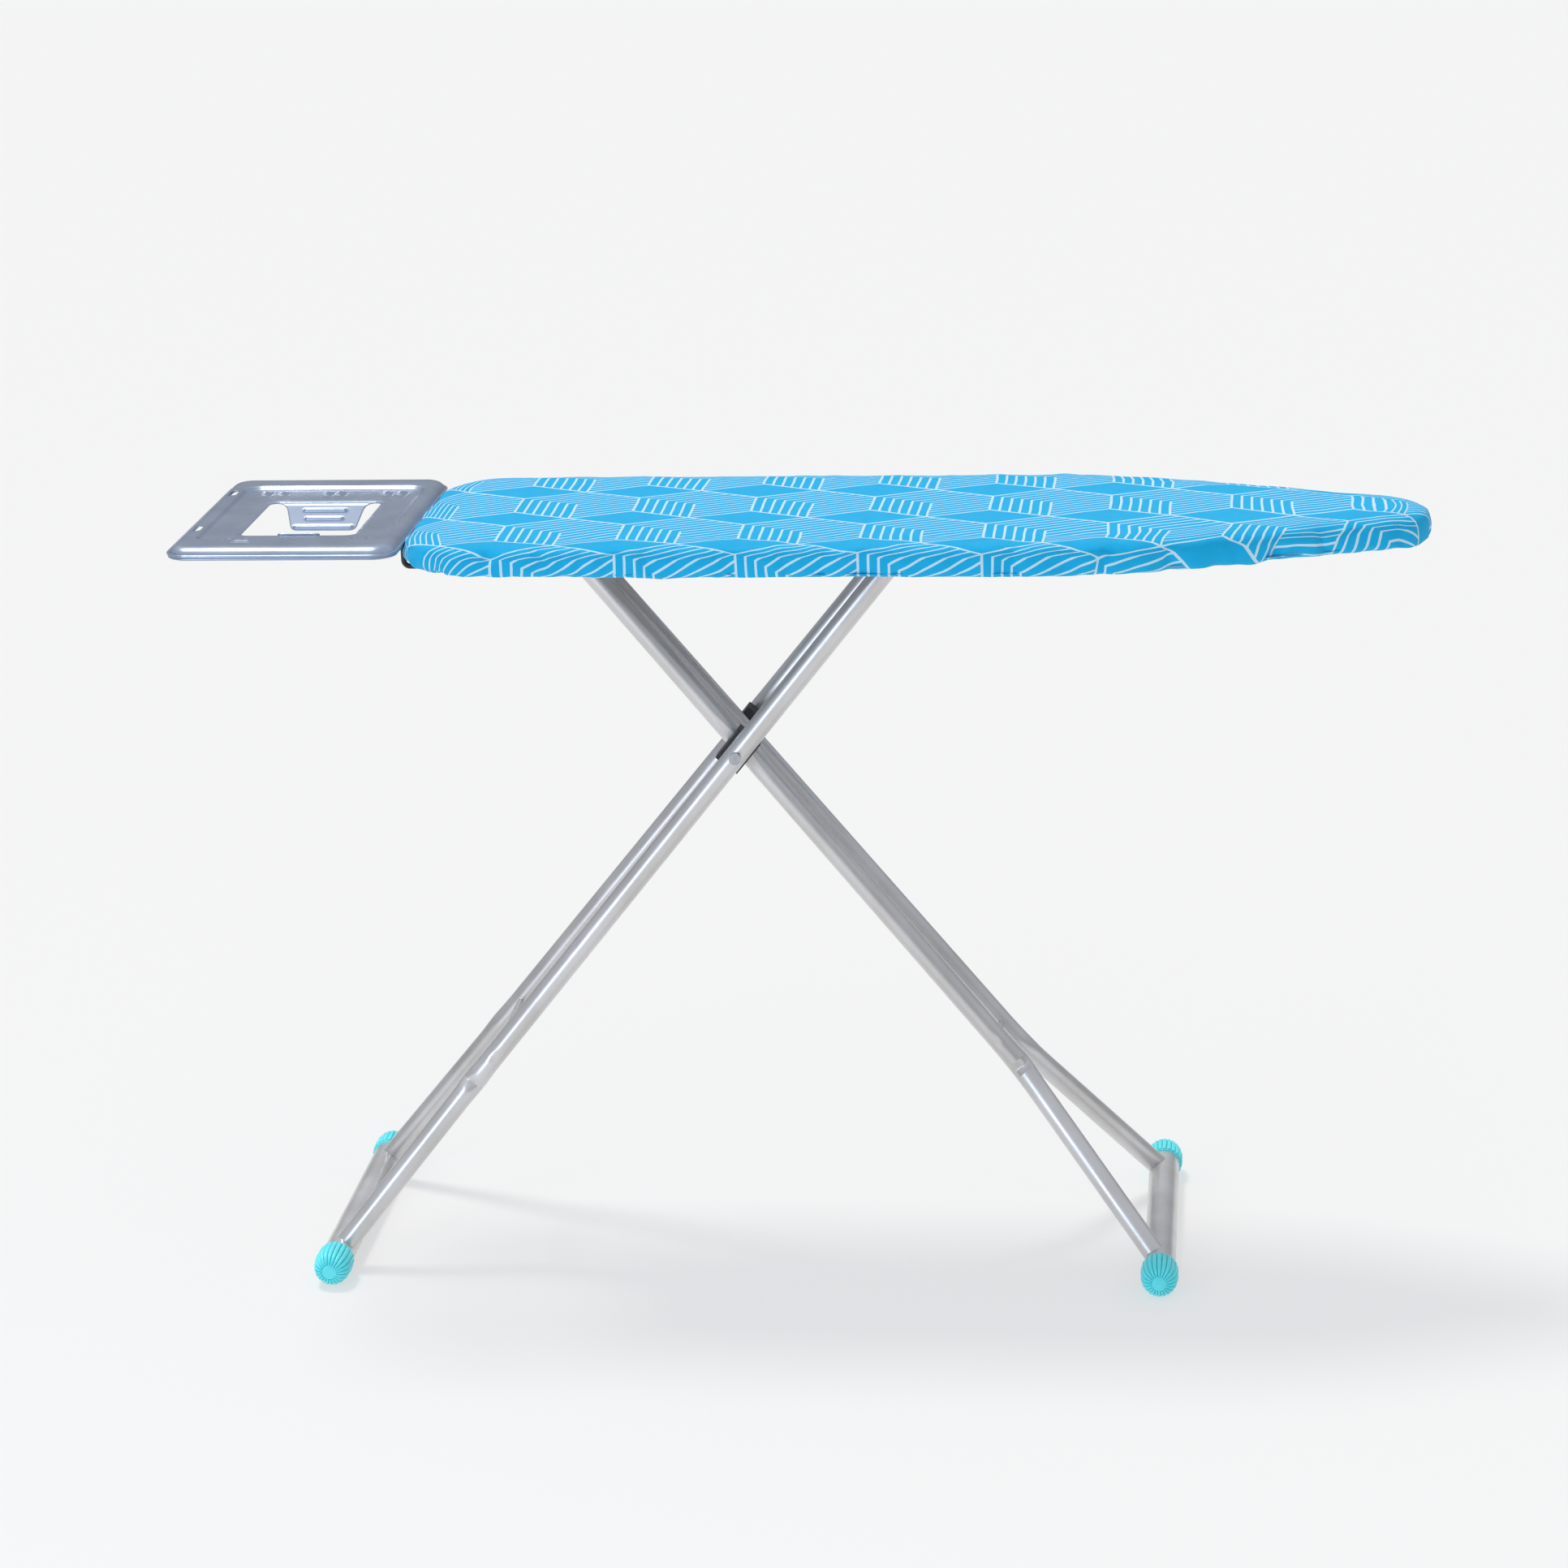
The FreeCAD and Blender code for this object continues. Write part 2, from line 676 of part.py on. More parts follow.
def make_cap(label, centre, side):
    """Turned plastic cap: socket at its rim, barrel flank, domed end with a flat disc."""
    body = new_body(label + "_body")
    profile = sketch_on(body, "XY_Plane", label + "_profile")
    bore = "foot_bar_radius + fixed_clearance"
    polygon(
        profile,
        [
            ("0", bore),
            ("0", "cap_rim_radius - 0.8"),
            ("0.8", "cap_rim_radius"),
            ("cap_length * 0.35", "cap_radius"),
            ("cap_length * 0.6", "cap_radius"),
            ("cap_length * 0.78", "cap_radius * 0.92"),
            ("cap_length * 0.91", "cap_radius * 0.74"),
            ("cap_length * 0.98", "cap_disc_radius * 1.25"),
            ("cap_length", "cap_disc_radius"),
            ("cap_length", "0"),
            ("cap_socket_depth", "0"),
            ("cap_socket_depth", bore),
        ],
    )
    turned = body.newObject("PartDesign::Revolution", label + "_turned")
    turned.Profile = profile
    turned.ReferenceAxis = (profile, ["H_Axis"])
    turned.Angle = 360
    doc.recompute()
    spot = centre + Vector(0, side * size["cap_rim_position"], 0)
    body.Placement = Placement(spot, Rotation(Vector(0, 0, 1), 90 * side))
    keep(label, body)


def cross_bar(name, centre, half, radius):
    """Bar across the object through a point in the middle plane."""
    return rod(name, centre - Vector(0, half, 0), centre + Vector(0, half, 0), radius)


def make_inner_leg():
    top, unit, length, arm = leg_frame(1)
    offsets = (size["inner_top_offset"], size["inner_bend_offset"])
    foot = top + unit * length
    crossing = top + unit * arm
    half = size["sleeve_half_length"]
    for name, side in (("inner_tube_front", -1), ("inner_tube_rear", 1)):
        coping = cross_bar(name + "_sleeve_cope", top, half, "sleeve_radius")
        foot_cope = cross_bar(name + "_foot_cope", foot, size["cap_rim_position"], "foot_bar_radius")
        hole = cross_bar(name + "_hole", crossing, 60, "rod_radius + running_clearance")
        leg_tube(name, 1, side, offsets, coping, foot_cope, [hole])
    bore = "sleeve_radius - rod_radius - running_clearance"
    sleeve = tube("inner_hinge_sleeve", top - Vector(0, half, 0), top + Vector(0, half, 0), "sleeve_radius", bore)
    keep("inner_hinge_sleeve", sleeve)
    tie = top + unit * size["tie_distance"]
    reach = offset_at(size["tie_distance"], *offsets) - size["leg_tube_radius"]
    keep("inner_tie_rod", cross_bar("inner_tie_rod", tie, reach, "tie_rod_radius"))
    make_foot("inner", 1)


def make_outer_leg():
    top, unit, length, arm = leg_frame(-1)
    offsets = (size["outer_top_offset"], size["outer_bend_offset"])
    foot = top + unit * length
    half = size["outer_sleeve_half_length"]
    crossing = top + unit * arm
    for name, side in (("outer_tube_front", -1), ("outer_tube_rear", 1)):
        coping = cross_bar(name + "_sleeve_cope", top, half, "sleeve_radius")
        foot_cope = cross_bar(name + "_foot_cope", foot, size["cap_rim_position"], "foot_bar_radius")
        hole = cross_bar(name + "_hole", crossing, 120, "rod_radius + fixed_clearance")
        leg_tube(name, -1, side, offsets, coping, foot_cope, [hole])
    bore = "sleeve_radius - slide_bar_radius - fixed_clearance"
    sleeve = tube("outer_top_tube", top - Vector(0, half, 0), top + Vector(0, half, 0), "sleeve_radius", bore)
    keep("outer_top_tube", sleeve)
    bar = cross_bar("slide_bar", top, size["slide_bar_half_length"], "slide_bar_radius")
    keep("slide_bar", bar)
    make_slide_caps(top)
    tie = top + unit * size["tie_distance"]
    reach = offset_at(size["tie_distance"], *offsets) - size["leg_tube_radius"]
    keep("outer_tie_rod", cross_bar("outer_tie_rod", tie, reach, "tie_rod_radius"))
    make_foot("outer", -1)
    make_crossing(crossing, unit, offset_at(arm, *offsets) + size["leg_tube_radius"])


def make_slide_caps(top):
    caps = []
    for side in (-1, 1):
        end = side * size["slide_bar_half_length"]
        start = end - side * size["slide_cap_length"]
        blank = rod("slide_cap_blank", top + Vector(0, start, 0), top + Vector(0, end + side * 2, 0), "slide_cap_radius")
        socket = rod("slide_cap_socket", top, top + Vector(0, end, 0), "slide_bar_radius + fixed_clearance")
        caps.append(cut("slide_cap", blank, socket))
    keep("slide_bar_caps", fused("slide_bar_caps", caps))


def make_crossing(crossing, unit, face):
    """Crossing rod with a rivet head at each end, and the two spacers between the legs."""
    keep("crossing_rod", cross_bar("crossing_rod", crossing, face + 1.5, "rod_radius"))
    heads = []
    for side in (-1, 1):
        start = crossing + Vector(0, side * (face + 0.8), 0)
        end = crossing + Vector(0, side * (face + 4.5), 0)
        blank = rod("head_blank", start, end, "rod_cap_radius")
        reach = crossing + Vector(0, side * (face + 1.5), 0)
        socket = rod("head_socket", crossing, reach, "rod_radius + fixed_clearance")
        heads.append(cut("rivet_head_cut", blank, socket))
    keep("crossing_rod_heads", fused("crossing_rod_heads", heads))
    lean = math.degrees(math.atan2(-unit.z, -unit.x))
    for name, side in (("spacer_front", -1), ("spacer_rear", 1)):
        block = doc.addObject("Part::Box", name + "_block")
        block.setExpression("Length", linked("spacer_length"))
        block.setExpression("Width", linked("spacer_outer - spacer_inner"))
        block.setExpression("Height", linked("spacer_height"))
        rotation = Rotation(Vector(0, 1, 0), -lean)
        inner = size["spacer_inner"] if side > 0 else -size["spacer_outer"]
        corner = Vector(-size["spacer_length"] / 2, inner, -size["spacer_height"] / 2)
        block.Placement = Placement(crossing + rotation.multVec(corner), rotation)
        hole = cross_bar(name + "_hole", crossing, 70, "rod_radius + fixed_clearance")
        keep(name, cut(name, block, hole))


# ---------------------------------------------------------------- iron rest


def rounded_plate(low, high, x_start, x_end, half, radius):
    """Block with rounded upright corners."""
    block = Part.makeBox(x_end - x_start, 2 * half, high - low, Vector(x_start, -half, low))
    upright = [edge for edge in block.Edges if edge.BoundBox.ZLength > (high - low) * 0.9]
    return block.makeFillet(radius, upright)


def make_rest():
    """Tray pressed from one sheet: raised rim, recessed panel, window and a bent-down flap."""
    top, skin = size["rest_top"], size["rest_sheet"]
    low = top - size["rest_depth"]
    start, end, half = size["rest_start"], size["rest_end"], size["rest_half_width"]
    rim, corner = size["rest_rim_width"], size["rest_corner"]
    floor_top = top - size["rest_panel_drop"]
    body = rounded_plate(low, top, start, end, half, corner)
    crown = [edge for edge in body.Edges if edge.BoundBox.ZMin > top - 0.01]
    body = body.makeFillet(6, crown)
    recess = rounded_plate(floor_top, top + REACH, start + rim, end - rim, half - rim, corner / 2)
    body = body.cut(recess)
    under = rounded_plate(low - REACH, floor_top - skin, start + skin, end - skin, half - skin, corner - skin)
    body = body.cut(under)
    crest = rounded_plate(low - REACH, top - skin, start + 6, end - 6, half - 6, corner - 6)
    inner = rim - 6 - skin
    crest = crest.cut(
        rounded_plate(low - 2 * REACH, top, start + 6 + inner, end - 6 - inner, half - 6 - inner, corner / 2)
    )
    body = body.cut(crest)
    window_size = (size["window_end"] - size["window_start"], 2 * size["window_half_width"])
    window_corner = Vector(size["window_start"], size["window_centre"] - size["window_half_width"], low - REACH)
    body = body.cut(Part.makeBox(window_size[0], window_size[1], 20, window_corner))
    plain("iron_rest", body.fuse(make_flap(floor_top, skin)))


def make_flap(height, skin):
    """Trapezoid flap hinged at the window's far edge and bent down."""
    middle = (size["window_start"] + size["window_end"]) / 2
    root, tip, length = size["flap_root"] / 2, size["flap_tip"] / 2, size["flap_length"]
    corners = [
        Vector(-root, 0, -skin),
        Vector(root, 0, -skin),
        Vector(tip, -length, -skin),
        Vector(-tip, -length, -skin),
    ]
    flap = Part.Face(Part.makePolygon(corners + corners[:1])).extrude(Vector(0, 0, skin))
    flap.Placement = Placement(
        Vector(middle, size["window_centre"] + size["window_half_width"] + skin / 2, height - skin / 2),
        Rotation(Vector(1, 0, 0), size["flap_angle"]),
    )
    return flap


def bent_wire(points, radius, bend):
    """Round wire along straight runs joined by tangent arcs."""
    edges = []
    previous = points[0]
    for here, following in zip(points[1:-1], points[2:]):
        back = (previous - here).normalize()
        onward = (following - here).normalize()
        turn = math.pi - back.getAngle(onward)
        reach = bend * math.tan(turn / 2)
        first, last = here + back * reach, here + onward * reach
        inward = (back + onward).normalize()
        middle = here + inward * (bend / math.cos(turn / 2) - bend)
        edges.append(Part.LineSegment(previous, first).toShape())
        edges.append(Part.Arc(first, middle, last).toShape())
        previous = last
    edges.append(Part.LineSegment(previous, points[-1]).toShape())
    path = Part.Wire(edges)
    start_direction = (points[1] - points[0]).normalize()
    section = Part.Wire(Part.makeCircle(radius, points[0], start_direction))
    return path.makePipeShell([section], True, True)


def make_wire_carrier(ceiling):
    """One wire: crosses under the plate, steps down past the hem and up under the rest."""
    y = size["wire_offset"]
    radius = size["wire_radius"]
    high = ceiling - radius - 0.3
    low = size["hem_bottom"] - radius - 0.6
    under_rest = size["rest_top"] - size["rest_depth"] - radius - 0.3
    drop = size["rest_end"] - 0.5
    tail = size["tail_position"]
    side = [
        Vector(size["rest_start"] + 20, y, under_rest),
        Vector(drop, y, under_rest),
        Vector(drop, y, low),
        Vector(tail + size["hem_width"] + 10, y, low),
        Vector(tail + size["hem_width"] + 24, y, high),
        Vector(tail + 125, y, high),
    ]
    mirrored = [Vector(point.x, -point.y, point.z) for point in reversed(side)]
    plain("rest_wire", bent_wire(side + mirrored, radius, size["wire_bend"]))
    clips = []
    for side_sign in (-1, 1):
        for x in (tail + 75, tail + 105):
            clips.append(wire_clip(x, side_sign * y, high, ceiling))
    plain("wire_clips", Part.makeCompound(clips))


def wire_clip(x, y, height, ceiling):
    """Saddle clip: a strap round the wire with a foot on each side under the plate."""
    gap = size["wire_radius"] + 0.3
    strap = 1.2
    width = size["clip_width"]
    outer = Part.makeCylinder(gap + strap, width, Vector(x - width / 2, y, height), Vector(1, 0, 0))
    block = Part.makeBox(width, 2 * (gap + strap), ceiling - height, Vector(x - width / 2, y - gap - strap, height))
    feet = Part.makeBox(width, 26, strap, Vector(x - width / 2, y - 13, ceiling - strap))
    bore = Part.makeCylinder(gap, width + 4, Vector(x - width / 2 - 2, y, height), Vector(1, 0, 0))
    opening = Part.makeBox(width + 4, 2 * gap, ceiling - height + 2, Vector(x - width / 2 - 2, y - gap, height))
    return outer.fuse(block).fuse(feet).cut(bore).cut(opening)


# ---------------------------------------------------------------- build and write


def check_document():
    doc.recompute()
    for thing in doc.Objects:
        if "Invalid" in thing.State or "Error" in thing.State:
            raise RuntimeError("%s is in state %s" % (thing.Name, thing.State))
    for label, thing in pieces.items():
        if thing.Shape.isNull() or not thing.Shape.isValid() or not thing.Shape.Solids:
            raise RuntimeError(label + " has no valid solid")


def write_pieces():
    os.makedirs("parts", exist_ok=True)
    for label, thing in pieces.items():
        thing.Shape.exportStep("parts/%s.step" % label)
        box = thing.Shape.BoundBox
        print("%-22s %9.0f mm3  solids %d  x %.1f..%.1f y %.1f..%.1f z %.1f..%.1f" % (
            label, thing.Shape.Volume, len(thing.Shape.Solids),
            box.XMin, box.XMax, box.YMin, box.YMax, box.ZMin, box.ZMax))


plate_underside = make_plate(make_soft_top())
make_hinge(plate_underside)
make_rail("height_rail_rear", 1, plate_underside)
make_rail("height_rail_front", -1, plate_underside)
make_all_rivets(plate_underside)
make_lever()
make_lever_pivot()
make_lever_bracket(plate_underside)
make_lever_spring()
make_wire_carrier(plate_underside)
make_rest()
make_inner_leg()
make_outer_leg()
check_document()
write_pieces()
print("pieces:", len(pieces))
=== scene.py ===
import json
import math
import random

import bmesh
import bpy
import numpy as np
from mathutils import Matrix, Vector, noise
from mathutils.geometry import delaunay_2d_cdt


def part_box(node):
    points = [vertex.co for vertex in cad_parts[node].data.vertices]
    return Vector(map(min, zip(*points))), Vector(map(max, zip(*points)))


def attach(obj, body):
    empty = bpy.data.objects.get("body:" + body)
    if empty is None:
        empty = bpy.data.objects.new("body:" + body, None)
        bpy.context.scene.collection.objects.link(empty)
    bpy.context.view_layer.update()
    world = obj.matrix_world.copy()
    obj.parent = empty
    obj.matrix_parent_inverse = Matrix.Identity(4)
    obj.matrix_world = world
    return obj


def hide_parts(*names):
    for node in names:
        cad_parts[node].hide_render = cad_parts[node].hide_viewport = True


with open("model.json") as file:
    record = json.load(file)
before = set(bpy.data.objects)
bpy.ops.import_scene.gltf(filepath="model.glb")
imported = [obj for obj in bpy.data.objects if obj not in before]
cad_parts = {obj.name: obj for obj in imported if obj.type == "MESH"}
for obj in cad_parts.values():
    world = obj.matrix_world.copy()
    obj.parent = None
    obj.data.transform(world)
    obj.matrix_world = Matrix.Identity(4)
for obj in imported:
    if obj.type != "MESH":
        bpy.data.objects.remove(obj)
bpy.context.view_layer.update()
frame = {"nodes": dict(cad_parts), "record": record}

MM = 0.001

# ---------------------------------------------------------------- sizes of the board, in metres

TAIL, NOSE, HALF_WIDTH = -0.437, 0.700, 0.185
TAIL_CORNER = 0.082
SHOULDER_X, SHOULDER_R = 0.235, 0.600
NOSE_R = 0.066
BOARD_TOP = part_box("cover")[1][2]
HEM_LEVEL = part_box("cover")[0][2]
PLATE_LOW, PLATE_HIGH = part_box("top_plate")[0][2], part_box("top_plate")[1][2]
HINGE_HEIGHT = 0.845
CROSSING = Vector((-0.078, 0.0, 0.610))
HALF_SPREAD = 0.192
TUBE_R = 0.0125
COIL_R, SPRING_WIRE_R = 0.0054, 0.0009
ALONG_X, ALONG_Y, ALONG_Z = Vector((1, 0, 0)), Vector((0, 1, 0)), Vector((0, 0, 1))

# ---------------------------------------------------------------- material making


def paint(hex_colour):
    """sRGB hex value as linear RGBA."""
    channels = [int(hex_colour[i:i + 2], 16) / 255 for i in (1, 3, 5)]
    linear = [c / 12.92 if c <= 0.04045 else ((c + 0.055) / 1.055) ** 2.4 for c in channels]
    return (*linear, 1.0)


def add(tree, kind, inputs=(), **settings):
    """Adds one node with its settings; inputs are values, colours or other nodes' sockets."""
    made = tree.nodes.new(kind)
    for name, value in settings.items():
        setattr(made, name, value)
    pairs = inputs.items() if isinstance(inputs, dict) else enumerate(inputs)
    for name, value in pairs:
        if value is None:
            continue
        if isinstance(value, bpy.types.Node):
            value = value.outputs[0]
        if isinstance(value, bpy.types.NodeSocket):
            tree.links.new(value, made.inputs[name])
        else:
            made.inputs[name].default_value = value
    return made


MATH, MIX, NOISE = "ShaderNodeMath", "ShaderNodeMix", "ShaderNodeTexNoise"
RAMP, BUMP, MAPPING = "ShaderNodeMapRange", "ShaderNodeBump", "ShaderNodeMapping"
MIX_FACTOR, MIX_A, MIX_B, MIX_OUT = 0, 6, 7, 2


def calc(tree, operation, *values):
    """One Math node."""
    return add(tree, MATH, values, operation=operation)


def blend(tree, factor, first, second):
    """Colour between two others."""
    mixed = add(tree, MIX, {MIX_FACTOR: factor, MIX_A: first, MIX_B: second}, data_type="RGBA")
    return mixed.outputs[MIX_OUT]


def finish_of(name, **sockets):
    """New material with one Principled shader; sockets are its plain settings."""
    material = bpy.data.materials.new(name)
    material.use_nodes = True
    tree = material.node_tree
    shader = tree.nodes["Principled BSDF"]
    for key, value in sockets.items():
        shader.inputs[key.replace("_", " ")].default_value = value
    place = add(tree, "ShaderNodeTexCoord").outputs["Object"]
    return material, tree, shader, place


def grain(tree, shader, place, size, depth, stretch=(1, 1, 1), detail=3.0):
    """Bump from noise whose grain is about size across and depth deep, in metres."""
    mapped = add(tree, MAPPING, {"Vector": place, "Scale": stretch})
    speck = add(tree, NOISE, {"Vector": mapped, "Scale": 1 / size, "Detail": detail})
    bump = add(tree, BUMP, {"Strength": 1.0, "Distance": depth, "Height": speck})
    tree.links.new(bump.outputs[0], shader.inputs["Normal"])
    return speck


def drift(tree, shader, place, low, high, size, stretch=(1, 1, 1), socket="Base Color"):
    """Slow change between two colours, or two roughness values, over size metres."""
    mapped = add(tree, MAPPING, {"Vector": place, "Scale": stretch})
    cloud = add(tree, NOISE, {"Vector": mapped, "Scale": 1 / size, "Detail": 4.0})
    if socket == "Roughness":
        spread = add(tree, RAMP, {"Value": cloud, "From Min": 0.3, "From Max": 0.7,
                                  "To Min": low, "To Max": high})
        tree.links.new(spread.outputs[0], shader.inputs[socket])
        return spread
    even = add(tree, RAMP, {"Value": cloud, "From Min": 0.3, "From Max": 0.7})
    mixed = blend(tree, even, low, high)
    tree.links.new(mixed, shader.inputs[socket])
    return mixed


def printed_lines(tree, cloth):
    """Mask of the print's lines.

    The repeat is 135 mm each way. Every repeat has a plain lozenge, a leaning block of upright
    stripes, and thin lines that carry on from each stripe's top, as on tumbling blocks.
    """
    repeat_x, repeat_y = 0.13535, 0.135
    first_x, first_y = 0.212, -0.019
    line = 0.0028
    fine = 0.0025
    half = repeat_x / 2
    block = repeat_y / 2
    slope = block / 2 / half
    step_x, step_y = half / 6, block / 6

    wander = add(tree, NOISE, {"Vector": cloth, "Scale": 9.0, "Detail": 2.0})
    lean = add(tree, "ShaderNodeVectorMath", (wander.outputs["Color"], (0.5, 0.5, 0.5)),
               operation="SUBTRACT")
    small = add(tree, "ShaderNodeVectorMath", {0: lean, "Scale": 0.006}, operation="SCALE")
    moved = add(tree, "ShaderNodeVectorMath", (cloth, small), operation="ADD")
    split = add(tree, "ShaderNodeSeparateXYZ", (moved,))
    x = calc(tree, "SUBTRACT", split.outputs[0], first_x)
    y = calc(tree, "SUBTRACT", split.outputs[1], first_y)

    across = calc(tree, "FLOORED_MODULO", x, repeat_x)
    zigzag = calc(tree, "PINGPONG", x, half)
    height = calc(tree, "MULTIPLY_ADD", zigzag, slope, y)
    turned = calc(tree, "MULTIPLY", height, -1.0)
    down = calc(tree, "FLOORED_MODULO", turned, repeat_y)

    # the lozenge's lower edges, and the zigzag under every block
    lozenge = calc(tree, "MULTIPLY_ADD", zigzag, 2 * slope, down)
    lower = calc(tree, "COMPARE", lozenge, block, line * 0.6)
    start = calc(tree, "LESS_THAN", down, line * 0.6)
    end = calc(tree, "GREATER_THAN", down, repeat_y - line * 0.6)

    # upright stripes
    shifted = calc(tree, "ADD", x, line / 2)
    inset = calc(tree, "FLOORED_MODULO", shifted, repeat_x)
    in_width = calc(tree, "LESS_THAN", inset, half + line)
    below = calc(tree, "GREATER_THAN", down, block)
    in_block = calc(tree, "MULTIPLY", in_width, below)
    beat = calc(tree, "FLOORED_MODULO", inset, step_x)
    stripe = calc(tree, "LESS_THAN", beat, line)
    stripes = calc(tree, "MULTIPLY", stripe, in_block)

    # thin lines from each stripe's top
    reach = calc(tree, "MINIMUM", across, half)
    order = calc(tree, "MULTIPLY_ADD", reach, 2 * slope, down)
    centred = calc(tree, "ADD", order, fine / 2)
    pulse = calc(tree, "FLOORED_MODULO", centred, step_y)
    thin = calc(tree, "LESS_THAN", pulse, fine)
    inside = calc(tree, "GREATER_THAN", lozenge, block)
    open_field = calc(tree, "SUBTRACT", inside, in_block)
    field = calc(tree, "MAXIMUM", open_field, 0.0)
    lines = calc(tree, "MULTIPLY", thin, field)

    one = calc(tree, "MAXIMUM", lower, start)
    two = calc(tree, "MAXIMUM", end, stripes)
    three = calc(tree, "MAXIMUM", one, two)
    return calc(tree, "MAXIMUM", three, lines)


def weave_bump(tree, cloth):
    """Weave and slight crumple. Threads are 0.5 mm apart in such cloth; 1.4 mm here, so that they show."""
    thread = 2 * math.pi / 0.0014
    parts = add(tree, "ShaderNodeSeparateXYZ", (cloth,))
    warp = calc(tree, "SINE", calc(tree, "MULTIPLY", parts.outputs[0], thread))
    weft = calc(tree, "SINE", calc(tree, "MULTIPLY", parts.outputs[1], thread))
    weave = calc(tree, "MULTIPLY", warp, weft)
    crumple = add(tree, NOISE, {"Vector": cloth, "Scale": 45.0, "Detail": 4.0})
    relief = calc(tree, "MULTIPLY_ADD", crumple, 6.0, weave)
    return add(tree, BUMP, {"Strength": 0.55, "Distance": 0.00018, "Height": relief})


def cotton_print():
    """Printed cotton drill: matt, a little satin from the finish, off-white lines on cyan."""
    material, tree, shader, _ = finish_of(
        "cotton_drill_print", Roughness=0.7, Sheen_Weight=0.04, Sheen_Roughness=0.5)
    shader.inputs["Specular IOR Level"].default_value = 0.18
    cloth = add(tree, "ShaderNodeUVMap", uv_map="cloth").outputs[0]
    dye = add(tree, NOISE, {"Vector": cloth, "Scale": 60.0, "Detail": 3.0})
    ground = blend(tree, dye, paint("#0cabe2"), paint("#18b6ec"))
    colour = blend(tree, printed_lines(tree, cloth), ground, paint("#c6e6f6"))
    tree.links.new(colour, shader.inputs["Base Color"])
    tree.links.new(weave_bump(tree, cloth).outputs[0], shader.inputs["Normal"])
    return material


def needle_felt():
    """Needled polyester felt: matt off-white, fibres with no direction."""
    material, tree, shader, place = finish_of("needled_felt", Roughness=0.95, Sheen_Weight=0.4)
    drift(tree, shader, place, paint("#dedbd0"), paint("#cbc7ba"), 0.02)
    grain(tree, shader, place, 0.003, 0.0006)
    return material


def braided_elastic():
    """Braided elastic cord: white cotton sheath with a 2 mm braid."""
    material, tree, shader, place = finish_of("braided_elastic", Roughness=0.85)
    drift(tree, shader, place, paint("#e9e8e4"), paint("#d2d1cc"), 0.004)
    grain(tree, shader, place, 0.002, 0.0003)
    return material


def silver_powder_coat():
    """Silver powder coat on drawn tube: aluminium flake under a clear binder, slight orange peel."""
    material, tree, shader, place = finish_of("silver_powder_coat", Metallic=0.78, Roughness=0.34)
    shader.inputs["Coat Weight"].default_value = 0.25
    shader.inputs["Coat Roughness"].default_value = 0.18
    drift(tree, shader, place, paint("#cac8c6"), paint("#d8d7d8"), 0.06, (1, 1, 0.35))
    drift(tree, shader, place, 0.30, 0.40, 0.03, socket="Roughness")
    # orange peel of about 2.5 mm on the real coat
    grain(tree, shader, place, 0.0025, 0.000003, detail=1.0)
    return material


def grey_sheet_paint():
    """Silver-grey stove paint on pressed sheet: duller than the tubes, faint flow marks."""
    material, tree, shader, place = finish_of("grey_stove_paint", Metallic=0.55, Roughness=0.45)
    drift(tree, shader, place, paint("#9fa2a6"), paint("#b0b2b6"), 0.08)
    grain(tree, shader, place, 0.003, 0.00008, detail=1.0)
    return material


def bright_zinc():
    """Zinc plate on turned steel: bright, with lengthwise tool lines and a faint blue passivation."""
    material, tree, shader, place = finish_of("bright_zinc", Metallic=1.0, Roughness=0.3)
    drift(tree, shader, place, paint("#b9bdc4"), paint("#a4a7ad"), 0.01)
    grain(tree, shader, place, 0.0008, 0.00004, (1, 6, 1))
    return material


def pressed_steel():
    """Blue-grey metallic lacquer on pressed sheet: soft long highlights on every formed edge."""
    material, tree, shader, place = finish_of("pressed_steel_lacquer", Metallic=0.86, Roughness=0.24)
    shader.inputs["Coat Weight"].default_value = 0.3
    shader.inputs["Coat Roughness"].default_value = 0.2
    drift(tree, shader, place, paint("#92a0b6"), paint("#a2afc4"), 0.05)
    drift(tree, shader, place, 0.31, 0.37, 0.04, socket="Roughness")
    grain(tree, shader, place, 0.002, 0.000003, detail=1.0)
    return material


def black_wire_coat():
    """Dipped black coat on wire: thick, even, half gloss."""
    material, tree, shader, place = finish_of("black_dip_coat", Roughness=0.32)
    drift(tree, shader, place, paint("#101113"), paint("#1a1b1e"), 0.02)
    grain(tree, shader, place, 0.003, 0.0001, detail=1.0)
    return material


def turquoise_polypropylene():
    """Injection-moulded polypropylene: clean colour, soft gloss, faint flow lines."""
    material, tree, shader, place = finish_of(
        "turquoise_polypropylene", Roughness=0.36, Subsurface_Weight=0.12, Subsurface_Scale=0.003)
    drift(tree, shader, place, paint("#5be6ee"), paint("#6aeef6"), 0.02)
    grain(tree, shader, place, 0.0016, 0.00004, detail=2.0)
    return material


def black_polyamide():
    """Moulded black polyamide: matt, with a spark-eroded texture of about 0.8 mm."""
    material, tree, shader, place = finish_of("black_polyamide", Roughness=0.55)
    drift(tree, shader, place, paint("#303136"), paint("#3c3d43"), 0.015)
    grain(tree, shader, place, 0.0008, 0.00006)
    return material


FINISH = {
    "cover_cotton": cotton_print(),
    "felt_pad": needle_felt(),
    "elastic": braided_elastic(),
    "silver_paint": silver_powder_coat(),
    "board_steel": grey_sheet_paint(),
    "zinc_steel": bright_zinc(),
    "rest_steel": pressed_steel(),
    "black_wire": black_wire_coat(),
    "turquoise_plastic": turquoise_polypropylene(),
    "black_plastic": black_polyamide(),
}

for row in frame["record"]["subparts"]:
    carried = frame["nodes"][row["node"]]
    carried.data.materials.clear()
    carried.data.materials.append(FINISH[row["material_slot"]])

# ---------------------------------------------------------------- mesh making


